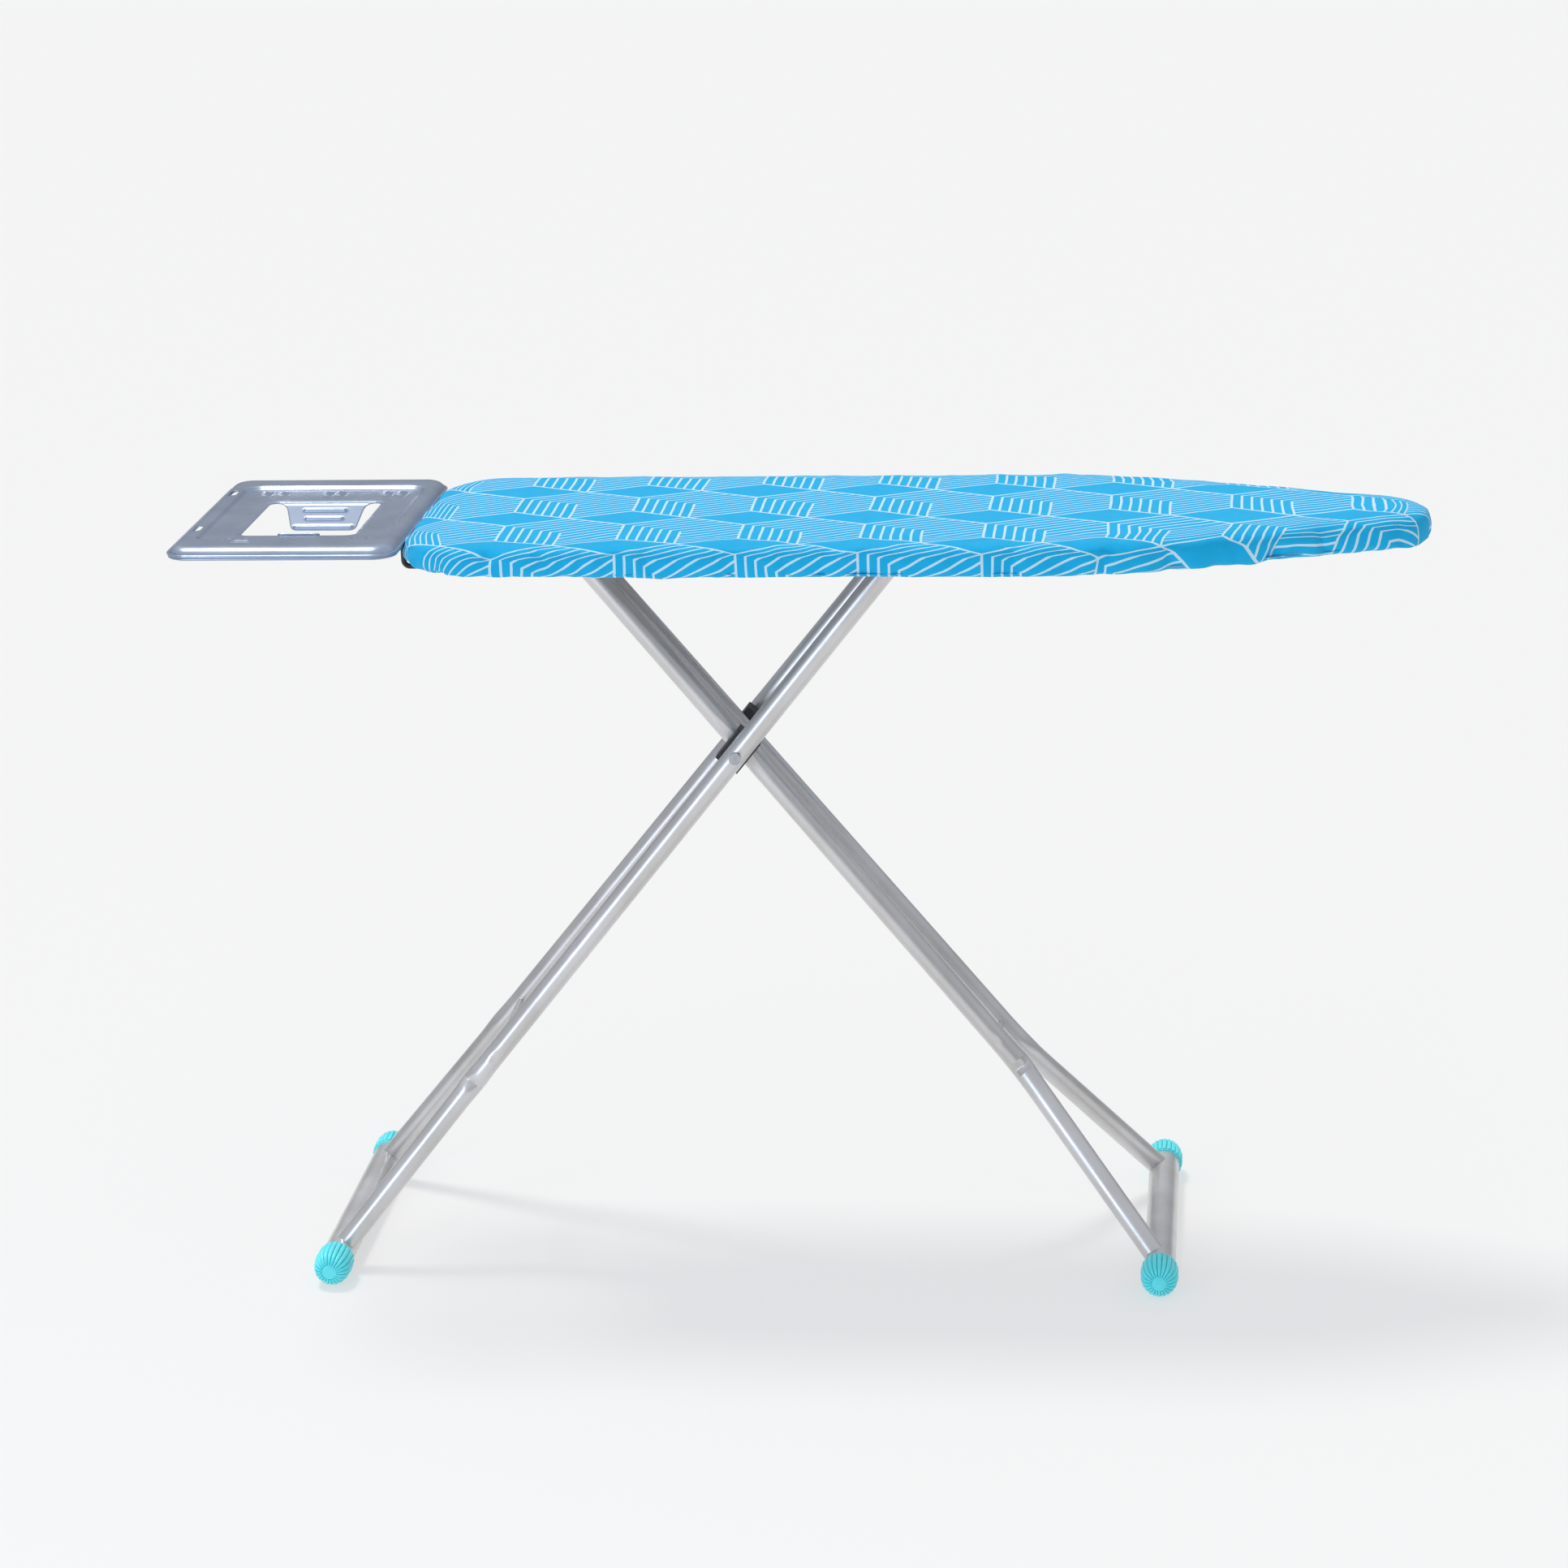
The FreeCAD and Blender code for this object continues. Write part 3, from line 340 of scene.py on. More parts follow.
def placed(name, data):
    """New object in the scene."""
    thing = bpy.data.objects.new(name, data)
    bpy.context.scene.collection.objects.link(thing)
    return thing


def raw_mesh(name, verts, faces):
    mesh = bpy.data.meshes.new(name)
    mesh.from_pydata([tuple(v) for v in verts], [], faces)
    return mesh


def cleaned(mesh, gap=1e-6):
    """Joins the points closer than gap and turns the faces outward."""
    work = bmesh.new()
    work.from_mesh(mesh)
    bmesh.ops.remove_doubles(work, verts=work.verts, dist=gap)
    bmesh.ops.recalc_face_normals(work, faces=work.faces)
    work.to_mesh(mesh)
    work.free()
    return mesh


def mesh_piece(name, verts, faces, slot, body, nodes, smooth=True):
    """Mesh object in the row frame, riding on a body in place of CAD nodes."""
    return dress(name, cleaned(raw_mesh(name, verts, faces)), slot, body, nodes, smooth)


def thickened(name, mesh, wall):
    """The mesh as a sheet of the given thickness, added on its inner side."""
    sheet_piece = placed(name, mesh)
    sheet = sheet_piece.modifiers.new("sheet", "SOLIDIFY")
    sheet.thickness = wall
    sheet.offset = -1
    return flattened(sheet_piece)


def ring_round(centre, first, second, sides):
    """Points round a centre, from two radius vectors a quarter turn apart."""
    turns = [math.tau * j / sides for j in range(sides)]
    return [centre + first * math.cos(a) + second * math.sin(a) for a in turns]


def dress(name, mesh, slot, body, nodes, smooth=True):
    mesh.materials.clear()
    mesh.materials.append(FINISH[slot])
    if smooth:
        mesh.shade_smooth()
    piece = placed(name, mesh)
    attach(piece, body)
    if nodes:
        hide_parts(*nodes)
    return piece


def flattened(piece):
    """The object's mesh with its modifiers applied; the object itself is removed."""
    bpy.context.view_layer.update()
    graph = bpy.context.evaluated_depsgraph_get()
    mesh = bpy.data.meshes.new_from_object(piece.evaluated_get(graph))
    bpy.data.objects.remove(piece)
    return mesh


def loft(rings, closed=True, caps=True):
    """Verts and faces through rings of equal length; caps close both ends with a fan."""
    count = len(rings[0])
    verts = [point for ring in rings for point in ring]
    faces = []
    for i in range(len(rings) - 1):
        for j in range(count if closed else count - 1):
            k = (j + 1) % count
            faces.append((i * count + j, i * count + k, (i + 1) * count + k, (i + 1) * count + j))
    if caps:
        for ring, flip in ((0, True), (len(rings) - 1, False)):
            centre = len(verts)
            verts.append(sum((Vector(p) for p in rings[ring]), Vector()) / count)
            for j in range(count):
                pair = (ring * count + j, ring * count + (j + 1) % count)
                faces.append((pair[1], pair[0], centre) if flip else (pair[0], pair[1], centre))
    return verts, faces


def ease(value):
    value = min(max(value, 0.0), 1.0)
    return value * value * (3 - 2 * value)


def copies_tree(name, count):
    """Geometry Nodes: copies of the mesh turned round the Y axis."""
    tree = bpy.data.node_groups.new(name, "GeometryNodeTree")
    tree.interface.new_socket("Geometry", in_out="INPUT", socket_type="NodeSocketGeometry")
    number = tree.interface.new_socket("Copies", in_out="INPUT", socket_type="NodeSocketInt")
    number.default_value = count
    coat = tree.interface.new_socket("Finish", in_out="INPUT", socket_type="NodeSocketMaterial")
    tree.interface.new_socket("Geometry", in_out="OUTPUT", socket_type="NodeSocketGeometry")
    entry = add(tree, "NodeGroupInput")
    line = add(tree, "GeometryNodeMeshLine", {"Count": entry.outputs["Copies"], "Offset": (0, 0, 0)})
    turn = calc(tree, "DIVIDE", math.tau, entry.outputs["Copies"])
    index = add(tree, "GeometryNodeInputIndex")
    angle = calc(tree, "MULTIPLY", index, turn)
    euler = add(tree, "ShaderNodeCombineXYZ", {"Y": angle})
    spread = add(tree, "GeometryNodeInstanceOnPoints",
                 {"Points": line, "Instance": entry.outputs["Geometry"], "Rotation": euler})
    real = add(tree, "GeometryNodeRealizeInstances", {"Geometry": spread})
    done = add(tree, "GeometryNodeSetMaterial", {"Geometry": real, "Material": entry.outputs["Finish"]})
    leave = add(tree, "NodeGroupOutput")
    tree.links.new(done.outputs[0], leave.inputs[0])
    return tree, number, coat


def scatter_tree(name):
    """Geometry Nodes: one small part set on every vertex of the mesh."""
    tree = bpy.data.node_groups.new(name, "GeometryNodeTree")
    tree.interface.new_socket("Geometry", in_out="INPUT", socket_type="NodeSocketGeometry")
    part = tree.interface.new_socket("Part", in_out="INPUT", socket_type="NodeSocketObject")
    coat = tree.interface.new_socket("Finish", in_out="INPUT", socket_type="NodeSocketMaterial")
    tree.interface.new_socket("Geometry", in_out="OUTPUT", socket_type="NodeSocketGeometry")
    entry = add(tree, "NodeGroupInput")
    model = add(tree, "GeometryNodeObjectInfo", {"Object": entry.outputs["Part"]})
    spread = add(tree, "GeometryNodeInstanceOnPoints",
                 {"Points": entry.outputs["Geometry"], "Instance": model.outputs["Geometry"]})
    real = add(tree, "GeometryNodeRealizeInstances", {"Geometry": spread})
    done = add(tree, "GeometryNodeSetMaterial", {"Geometry": real, "Material": entry.outputs["Finish"]})
    leave = add(tree, "NodeGroupOutput")
    tree.links.new(done.outputs[0], leave.inputs[0])
    return tree, part, coat


def spiral_tree(name):
    """Geometry Nodes: a round-wire coil along Z."""
    tree = bpy.data.node_groups.new(name, "GeometryNodeTree")
    tree.interface.new_socket("Geometry", in_out="INPUT", socket_type="NodeSocketGeometry")
    sockets = {}
    sizes = {"Turns": 7.0, "Coil radius": COIL_R, "Length": 0.0072, "Wire radius": SPRING_WIRE_R}
    for label, value in sizes.items():
        sockets[label] = tree.interface.new_socket(label, in_out="INPUT", socket_type="NodeSocketFloat")
        sockets[label].default_value = value
    coat = tree.interface.new_socket("Finish", in_out="INPUT", socket_type="NodeSocketMaterial")
    tree.interface.new_socket("Geometry", in_out="OUTPUT", socket_type="NodeSocketGeometry")
    entry = add(tree, "NodeGroupInput")
    coil = add(tree, "GeometryNodeCurveSpiral", {
        "Resolution": 24, "Rotations": entry.outputs["Turns"], "Start Radius": entry.outputs["Coil radius"],
        "End Radius": entry.outputs["Coil radius"], "Height": entry.outputs["Length"]})
    ring = add(tree, "GeometryNodeCurvePrimitiveCircle",
               {"Resolution": 8, "Radius": entry.outputs["Wire radius"]})
    swept = add(tree, "GeometryNodeCurveToMesh", {"Curve": coil, "Profile Curve": ring, "Fill Caps": True})
    real = add(tree, "GeometryNodeRealizeInstances", {"Geometry": swept})
    done = add(tree, "GeometryNodeSetMaterial", {"Geometry": real, "Material": entry.outputs["Finish"]})
    leave = add(tree, "NodeGroupOutput")
    tree.links.new(done.outputs[0], leave.inputs[0])
    return tree, coat


def grown(mesh, tree, values):
    """Mesh after one Geometry Nodes tree, with its inputs set by identifier."""
    holder = placed("holder", mesh)
    modifier = holder.modifiers.new("grow", "NODES")
    modifier.node_group = tree
    for socket, value in values:
        modifier[socket.identifier] = value
    return flattened(holder)


# ---------------------------------------------------------------- the board's plan


def board_plan(spacing):
    """Points round the board's edge with outward normals, evenly spaced: (x, y, nx, ny, run)."""
    away_x, away_y = NOSE - NOSE_R - SHOULDER_X, -(HALF_WIDTH - SHOULDER_R)
    slope = math.atan2(away_x, away_y) - math.acos((SHOULDER_R - NOSE_R) / math.hypot(away_x, away_y))
    dense = []

    def arc(cx, cy, radius, first, last):
        steps = max(8, int(abs(last - first) * radius / 0.0005))
        for i in range(steps + 1):
            a = first + (last - first) * i / steps
            dense.append((cx + radius * math.sin(a), cy + radius * math.cos(a)))

    dense.append((TAIL, 0.0))
    arc(TAIL + TAIL_CORNER, HALF_WIDTH - TAIL_CORNER, TAIL_CORNER, -math.pi / 2, 0)
    arc(SHOULDER_X, HALF_WIDTH - SHOULDER_R, SHOULDER_R, 0, slope)
    arc(NOSE - NOSE_R, 0, NOSE_R, slope, math.pi / 2)
    dense = np.array(dense)
    gaps = np.hypot(*np.diff(dense, axis=0).T)
    run = np.concatenate([[0], np.cumsum(gaps)])
    count = int(run[-1] / spacing)
    at = np.linspace(0, run[-1], count + 1)
    xs, ys = np.interp(at, run, dense[:, 0]), np.interp(at, run, dense[:, 1])
    far = list(zip(xs, ys))
    loop = far + [(x, -y) for x, y in reversed(far[1:-1])]
    plan = []
    total = 0.0
    for i, (x, y) in enumerate(loop):
        before, after = loop[i - 1], loop[(i + 1) % len(loop)]
        tx, ty = after[0] - before[0], after[1] - before[1]
        size = math.hypot(tx, ty)
        plan.append((x, y, -ty / size, tx / size, total))
        total += math.hypot(after[0] - x, after[1] - y)
    return plan


def distance_in(x, y):
    """Distance from a point to the board's edge, positive inside."""
    y = abs(y)
    if x < TAIL + TAIL_CORNER:
        cx, cy = TAIL + TAIL_CORNER, HALF_WIDTH - TAIL_CORNER
        if y > cy:
            return TAIL_CORNER - math.hypot(x - cx, y - cy)
        return x - TAIL
    if x < SHOULDER_X:
        return min(HALF_WIDTH - y, x - TAIL)
    return min(SHOULDER_R - math.hypot(x - SHOULDER_X, y - HALF_WIDTH + SHOULDER_R),
               1.0 if x < NOSE - NOSE_R else NOSE_R - math.hypot(x - NOSE + NOSE_R, y))


def spine_at(x):
    """Where the line from an edge point meets the board's middle."""
    return min(max(x, TAIL + 0.15), NOSE - NOSE_R)


# ---------------------------------------------------------------- cover

# (inset from the edge, height below the top, share of the puckering)
COVER_SECTION = [
    (0.060, 0.0, 0.0), (0.040, 0.0001, 0.0), (0.026, 0.0005, 0.02), (0.017, 0.0014, 0.05),
    (0.011, 0.0029, 0.10), (0.0068, 0.0050, 0.17), (0.0036, 0.0078, 0.26), (0.0014, 0.0112, 0.38),
    (0.0002, 0.0150, 0.52), (-0.0006, 0.0190, 0.68), (-0.0006, 0.0230, 0.82), (0.0, 0.0268, 0.94),
    (0.0012, 0.0303, 1.0), (0.0032, 0.0332, 1.0), (0.0064, 0.0350, 0.8), (0.0110, 0.0356, 0.55),
    (0.0165, 0.0357, 0.35), (0.0220, 0.0357, 0.2), (0.0272, 0.0354, 0.15), (0.0298, 0.0342, 0.1),
    (0.0304, 0.0322, 0.1), (0.0290, 0.0306, 0.1), (0.0262, 0.0304, 0.1)]
# how firmly each of those points is held while the cloth settles
COVER_HELD = (1.0, 0.9, 0.6, 0.35, 0.2, 0.1, 0.04) + (0.0,) * 6 + (0.2, 0.6, 0.8) + (1.0,) * 7
INNER_SHARE = (0.0, 0.12, 0.26, 0.42, 0.6, 0.8)
CLOTH_TOO_LARGE, SETTLING_FRAMES = 0.14, 18
SMOOTHINGS, FOLD_GAIN = 5, 1.5
FURTHEST_STEP, DEEPEST_SIDE = 0.0045, 0.0054
# heights below the top: the rolled edge, and the side that lies over the plate's rim
ROLLED_EDGE, SIDE_HIGH, SIDE_LOW = 0.007, 0.006, 0.0348


def settling_cloth(holder, pins):
    """Cloth cut a little too large, fuller at the tail and the nose."""
    group = holder.vertex_groups.new(name="pins")
    for index, weight in enumerate(pins):
        group.add([index], weight, "REPLACE")
    tighter = holder.vertex_groups.new(name="tightness")
    for vert in holder.data.vertices:
        near_tail, near_nose = ease((-0.12 - vert.co.x) / 0.12), ease((vert.co.x - 0.28) / 0.12)
        tighter.add([vert.index], 0.75 * (1 - max(near_tail, near_nose)), "REPLACE")
    cloth = holder.modifiers.new("settle", "CLOTH")
    cloth.settings.quality = 6
    cloth.settings.mass = 0.12
    cloth.settings.bending_stiffness = 0.5
    cloth.settings.shrink_min = -CLOTH_TOO_LARGE
    cloth.settings.shrink_max = 0.0
    cloth.settings.vertex_group_shrink = tighter.name
    cloth.settings.vertex_group_mass = group.name
    cloth.settings.effector_weights.gravity = 0.0
    cloth.point_cache.frame_start, cloth.point_cache.frame_end = 1, SETTLING_FRAMES


def smoothed(mesh, steps):
    """Every point's step evened out with its neighbours' along the mesh's edges."""
    pairs = np.array([edge.vertices[:] for edge in mesh.edges])
    beside = np.bincount(pairs.ravel(), minlength=len(steps))[:, None]
    for _ in range(SMOOTHINGS):
        total = np.zeros_like(steps)
        np.add.at(total, pairs[:, 0], steps[pairs[:, 1]])
        np.add.at(total, pairs[:, 1], steps[pairs[:, 0]])
        steps = (steps + total) / (1 + beside)
    return steps


def shortened(step, x, y, deepest):
    """The step, made shorter until it ends no further in from the board's edge than deepest."""
    while step.length > MM / 100 and distance_in(x + step.x, y + step.y) > deepest:
        step *= 0.8
    return step


def settled(mesh, pins):
    """Short cloth simulation, smoothed and enlarged, kept clear of the pad and the plate."""
    scene = bpy.context.scene
    holder = placed("settling", mesh)
    settling_cloth(holder, pins)
    for frame_number in range(1, SETTLING_FRAMES + 1):
        scene.frame_set(frame_number)
    moved = holder.evaluated_get(bpy.context.evaluated_depsgraph_get()).data
    start, after = np.empty(len(mesh.vertices) * 3), np.empty(len(mesh.vertices) * 3)
    mesh.vertices.foreach_get("co", start)
    moved.vertices.foreach_get("co", after)
    start, steps = start.reshape(-1, 3), (after - start).reshape(-1, 3)
    for vert, (x, y, z), step in zip(mesh.vertices, start, smoothed(mesh, steps)):
        step = Vector(step) * FOLD_GAIN
        if step.length > FURTHEST_STEP:
            step *= FURTHEST_STEP / step.length
        if z > BOARD_TOP - ROLLED_EDGE:
            step.z = max(step.z, -0.0002)
            step = shortened(step, x, y, distance_in(x, y) + 0.0012)
        if BOARD_TOP - SIDE_LOW < z < BOARD_TOP - SIDE_HIGH:
            step = shortened(step, x, y, DEEPEST_SIDE)
        vert.co += step
    bpy.data.objects.remove(holder)
    scene.frame_set(1)


def gathers(plan):
    """Folds that the elastic draws: (place along the edge, depth, width, lean)."""
    rng = random.Random(11)
    length = plan[-1][4]
    folds = []
    run = 0.0
    while run < length:
        x = plan[min(int(run / length * len(plan)), len(plan) - 1)][0]
        busy = 1.0 if x < -0.12 or x > 0.33 else 0.45
        depth = rng.uniform(0.0012, 0.0042) * busy
        width = rng.uniform(0.004, 0.010)
        lean = rng.uniform(-0.035, 0.035)
        folds.append((run, depth, width, lean))
        run += rng.uniform(0.013, 0.042) / busy ** 0.5
    return folds


def gathered_in(folds, length, run, share):
    """How far the gathers draw a point of the side inward."""
    push = 0.0
    for at, depth, width, lean in folds:
        gap = run + lean * share - at
        gap -= length * round(gap / length)
        if abs(gap) < 3 * width:
            push += depth * math.exp(-(gap / width) ** 2)
    return push


def print_spread():
    """Distance over the flat cloth at each point of the section.

    The gathers take up cloth where it turns over the edge, so the print moves on faster there.
    """
    flat, reached = [0.0], 0.0
    for (a, h, _), (b, g, _) in zip(COVER_SECTION, COVER_SECTION[1:]):
        length_here = math.hypot(b - a, g - h)
        reached += length_here
        flat.append(flat[-1] + length_here * (1.85 if 0.030 < reached < 0.068 else 1.0))
    return flat


def top_wave(x, y):
    """Slight waves of the ironing surface, stronger near its edge."""
    edge = max(distance_in(x, y), 0.0)
    near = 1 - ease(edge / 0.11)
    swell = noise.noise((x * 7, y * 11, 0.3)) * 0.0009
    ripple = noise.noise((x * 26, y * 17, 4.1)) * 0.0011 * near
    return swell + ripple - 0.0009 * near


def cover_points(plan):
    """Points of the cloth, each one's place on the print, and how firmly it is held."""
    folds, length, flat = gathers(plan), plan[-1][4], print_spread()
    verts, cloth, pins = [], [], []
    for x, y, nx, ny, run in plan:
        root_x, root_y = x - nx * COVER_SECTION[0][0], y - ny * COVER_SECTION[0][0]
        spine_x = spine_at(root_x)
        for share in INNER_SHARE:
            px, py = spine_x + (root_x - spine_x) * share, root_y * share
            verts.append((px, py, BOARD_TOP + top_wave(px, py)))
            cloth.append((px, py))
            pins.append(1.0)
        for (inset, drop, share), spread, pin in zip(COVER_SECTION, flat, COVER_HELD):
            px, py = x - nx * inset, y - ny * inset
            puff = noise.noise((run * 16, share * 1.5, 7.0)) * 0.0022 * share
            move = (puff - gathered_in(folds, length, run, share)) * share
            if 0.007 < drop < 0.032:
                move = max(move, inset - 0.0026)
            sag = 0.0035 * ease((x + 0.36) / 0.2) * ease((drop - 0.012) / 0.018)
            lift = noise.noise((run * 23, 2.0, 1.0)) * 0.0016 * share * (1 if drop < 0.034 else 0.25)
            wave = top_wave(px, py) * (1 - ease((drop - 0.001) / 0.02))
            low = max(BOARD_TOP - drop + lift + wave, HEM_LEVEL + 0.0004) - sag
            verts.append((px + nx * move, py + ny * move, low))
            cloth.append((root_x + nx * spread, root_y + ny * spread))
            pins.append(pin)
    return verts, cloth, pins


def cover_mesh(plan):
    """The cloth before it settles, with its print coordinates, and how each point is held."""
    verts, cloth, pins = cover_points(plan)
    rows = len(INNER_SHARE) + len(COVER_SECTION)
    faces = []
    for i in range(len(plan)):
        k = (i + 1) % len(plan)
        for j in range(rows - 1):
            faces.append((i * rows + j, i * rows + j + 1, k * rows + j + 1, k * rows + j))
    mesh = raw_mesh("cover_cloth", verts, faces)
    layer = mesh.uv_layers.new(name="cloth")
    for loop in mesh.loops:
        layer.data[loop.index].uv = cloth[loop.vertex_index]
    mesh.attributes.new("pin", "FLOAT", "POINT").data.foreach_set("value", pins)
    work = bmesh.new()
    work.from_mesh(mesh)
    bmesh.ops.remove_doubles(work, verts=work.verts, dist=1e-5)
    bmesh.ops.dissolve_degenerate(work, edges=work.edges, dist=1e-6)
    bmesh.ops.recalc_face_normals(work, faces=work.faces)
    if max(work.faces, key=lambda f: f.calc_center_median().z).normal.z < 0:
        bmesh.ops.reverse_faces(work, faces=work.faces)
    work.to_mesh(mesh)
    work.free()
    pins = [row.value for row in mesh.attributes["pin"].data]
    mesh.attributes.remove(mesh.attributes["pin"])
    return mesh, pins


def make_cover():
    """One cut of cotton over the pad, drawn in under the edge by the elastic in its hem."""
    mesh, pins = cover_mesh(board_plan(0.004))
    settled(mesh, pins)
    cover = dress("cover_cloth", mesh, "cover_cotton", "board", ["cover"])
    wall = cover.modifiers.new("cloth_thickness", "SOLIDIFY")
    wall.thickness = 0.0007
    wall.offset = -1


def make_pad():
    """Felt pad under the cover: flat where it lies on the plate, rounded over at its edge."""
    low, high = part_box("pad")[0][2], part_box("pad")[1][2]
    thick = high - low - 0.0018
    # (inset from the edge, share of the thickness)
    section = [(0.034, 0.86), (0.024, 0.76), (0.017, 0.62), (0.0130, 0.45), (0.0108, 0.27), (0.0100, 0.12),
               (0.0106, 0.0), (0.022, 0.0)]
    # (share of the way from the middle, inset, share of the thickness)
    rows = [(share, section[0][0], 0.88) for share in (0.0, 0.33, 0.66)]
    rows += [(1.0, inset, level) for inset, level in section]
    rows += [(share, section[0][0], 0.0) for share in (0.5, 0.0)]
    rings = []
    for share, inset, level in rows:
        ring = []
        for x, y, nx, ny, _ in board_plan(0.008):
            ex, ey = x - nx * inset, y - ny * inset
            spine_x = spine_at(ex)
            px, py = spine_x + (ex - spine_x) * share, ey * share
            ripple = noise.noise((px * 30, py * 30, 2.0)) * 0.0003 * level
            ring.append(Vector((px, py, low + thick * level + ripple)))
        rings.append(ring)
    verts, faces = loft(rings, caps=False)
    pad = mesh_piece("pad_felt", verts, faces, "felt_pad", "board", ["pad"])


def make_hem_elastic():
    """Braided cord inside the hem, all the way round."""
    level = (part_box("hem_elastic")[0][2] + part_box("hem_elastic")[1][2]) / 2 + 0.0003
    rings = []
    for x, y, nx, ny, run in board_plan(0.006):
        swell = 0.0010 + 0.00012 * math.sin(run / 0.006 * math.pi)
        centre, outward = Vector((x - nx * 0.0282, y - ny * 0.0282, level)), Vector((nx, ny, 0))
        rings.append(ring_round(centre, outward * swell, ALONG_Z * swell, 8))
    verts, faces = loft(rings + [rings[0]], caps=False)
    mesh_piece("hem_elastic_cord", verts, faces, "elastic", "board", ["hem_elastic"])


# ---------------------------------------------------------------- plate with its perforations


PLATE_WALL = 0.0012
PLATE_INSET, PLATE_LIP = 0.0072, 0.008
HOLE_PITCH, HOLE_R, HOLE_SIDES = 0.026, 0.0055, 12


def under_a_fitting(x, y):
    """True where the hinge, the rails, the lever or the wire's clips are fixed to the plate."""
    return ((-0.31 < x < -0.23 and abs(y) < 0.075)
            or (0.08 < x < 0.375 and 0.075 < abs(y) < 0.115)
            or (0.02 < x < 0.07 and -0.10 < y < -0.06)
            or (-0.375 < x < -0.305 and 0.095 < abs(y) < 0.135))


def perforations():
    """Centres of the plate's holes, in rows offset by half a pitch."""
    holes = []
    row = 0
    y = -0.16
    while y <= 0.16:
        x = -0.40 + (HOLE_PITCH / 2 if row % 2 else 0)
        while x <= 0.67:
            if distance_in(x, y) > 0.026 and not under_a_fitting(x, y):
                holes.append((x, y))
            x += HOLE_PITCH
        y += HOLE_PITCH * math.sqrt(3) / 2
        row += 1
    return holes


def perforated_sheet(outline, holes):
    """Flat points and triangles of the sheet between its outline and its holes."""
    points = list(outline)
    edges = [(i, (i + 1) % len(outline)) for i in range(len(outline))]
    for cx, cy in holes:
        first = len(points)
        for j in range(HOLE_SIDES):
            a = math.tau * j / HOLE_SIDES
            points.append(Vector((cx + HOLE_R * math.cos(a), cy + HOLE_R * math.sin(a))))
            edges.append((first + j, first + (j + 1) % HOLE_SIDES))
    flat, _, tris, _, _, _ = delaunay_2d_cdt(points, edges, [], 1, 1e-6)
    centres = np.array(holes)
    faces = []
    for tri in tris:
        mid = sum((flat[i] for i in tri), Vector((0, 0))) / len(tri)
        if np.min(np.hypot(centres[:, 0] - mid.x, centres[:, 1] - mid.y)) > HOLE_R * 0.9:
            faces.append(tuple(tri))
    return flat, faces


def perforation_rims(holes, level):
    """Pressed rim round every perforation, seen from below."""
    section = ((0.0055, 0.0), (0.0058, -0.0009), (0.0066, -0.0011), (0.0075, -0.0006), (0.0082, 0.0001),
               (0.0055, 0.0001))
    rings = [ring_round(ALONG_Z * height, ALONG_X * radius, ALONG_Y * radius, HOLE_SIDES)
             for radius, height in section]
    verts, faces = loft(rings + [rings[0]], caps=False)
    scatter("plate_perforation_rims", verts, faces, [(x, y, level) for x, y in holes],
            "board_steel", "board", [])


def make_plate():
    """Sheet plate with round perforations, a turned-down rim and a narrow return lip."""
    plan = board_plan(0.012)
    holes = perforations()
    outline = [Vector((x - nx * PLATE_INSET, y - ny * PLATE_INSET)) for x, y, nx, ny, _ in plan]
    flat, faces = perforated_sheet(outline, holes)
    underside = PLATE_HIGH - PLATE_WALL
    verts = [(p.x, p.y, underside) for p in flat]
    # rim and lip: rings hanging from the outline
    section = [(0.0, underside), (0.0, PLATE_LOW + PLATE_WALL), (0.0006, PLATE_LOW + PLATE_WALL * 0.3),
               (0.002, PLATE_LOW), (PLATE_LIP, PLATE_LOW)]
    rings = []
    for further, level in section:
        inset = PLATE_INSET + further
        rings.append([Vector((x - nx * inset, y - ny * inset, level)) for x, y, nx, ny, _ in plan])
    rim_verts, rim_faces = loft(rings, caps=False)
    faces += [tuple(len(verts) + i for i in face) for face in rim_faces]
    plate = mesh_piece("plate_pressed", verts + rim_verts, faces, "board_steel", "board", ["top_plate"],
                       smooth=False)
    work = bmesh.new()
    work.from_mesh(plate.data)
    flat_face = max(work.faces, key=lambda f: f.calc_area() if abs(f.normal.z) > 0.9 else 0)
    if flat_face.normal.z < 0:
        bmesh.ops.reverse_faces(work, faces=work.faces)
    work.to_mesh(plate.data)
    work.free()
    solid = plate.modifiers.new("sheet", "SOLIDIFY")
    solid.thickness = PLATE_WALL * 0.8
    solid.offset = 1
    perforation_rims(holes, underside - 0.00002)


def scatter(name, verts, faces, spots, slot, body, nodes):
    """Copies of one small closed shape at many spots, made by Geometry Nodes, as one piece."""
    model = placed(name + "_one", cleaned(raw_mesh(name + "_one", verts, faces), 1e-7))
    tree, part, coat = scatter_tree(name + "_tree")
    mesh = grown(raw_mesh(name + "_spots", spots, []), tree, [(part, model), (coat, FINISH[slot])])
    bpy.data.objects.remove(model)
    return dress(name, mesh, slot, body, nodes)


# ---------------------------------------------------------------- iron rest


def rounded_box(x, y, cx, cy, hx, hy, radius):
    """Signed distance to a rounded rectangle, negative inside; x and y are arrays."""
    qx, qy = np.abs(x - cx) - (hx - radius), np.abs(y - cy) - (hy - radius)
    outside = np.hypot(np.maximum(qx, 0), np.maximum(qy, 0))
    return outside + np.minimum(np.maximum(qx, qy), 0) - radius


def smooth_step(value):
    value = np.clip(value, 0, 1)
    return value * value * (3 - 2 * value)


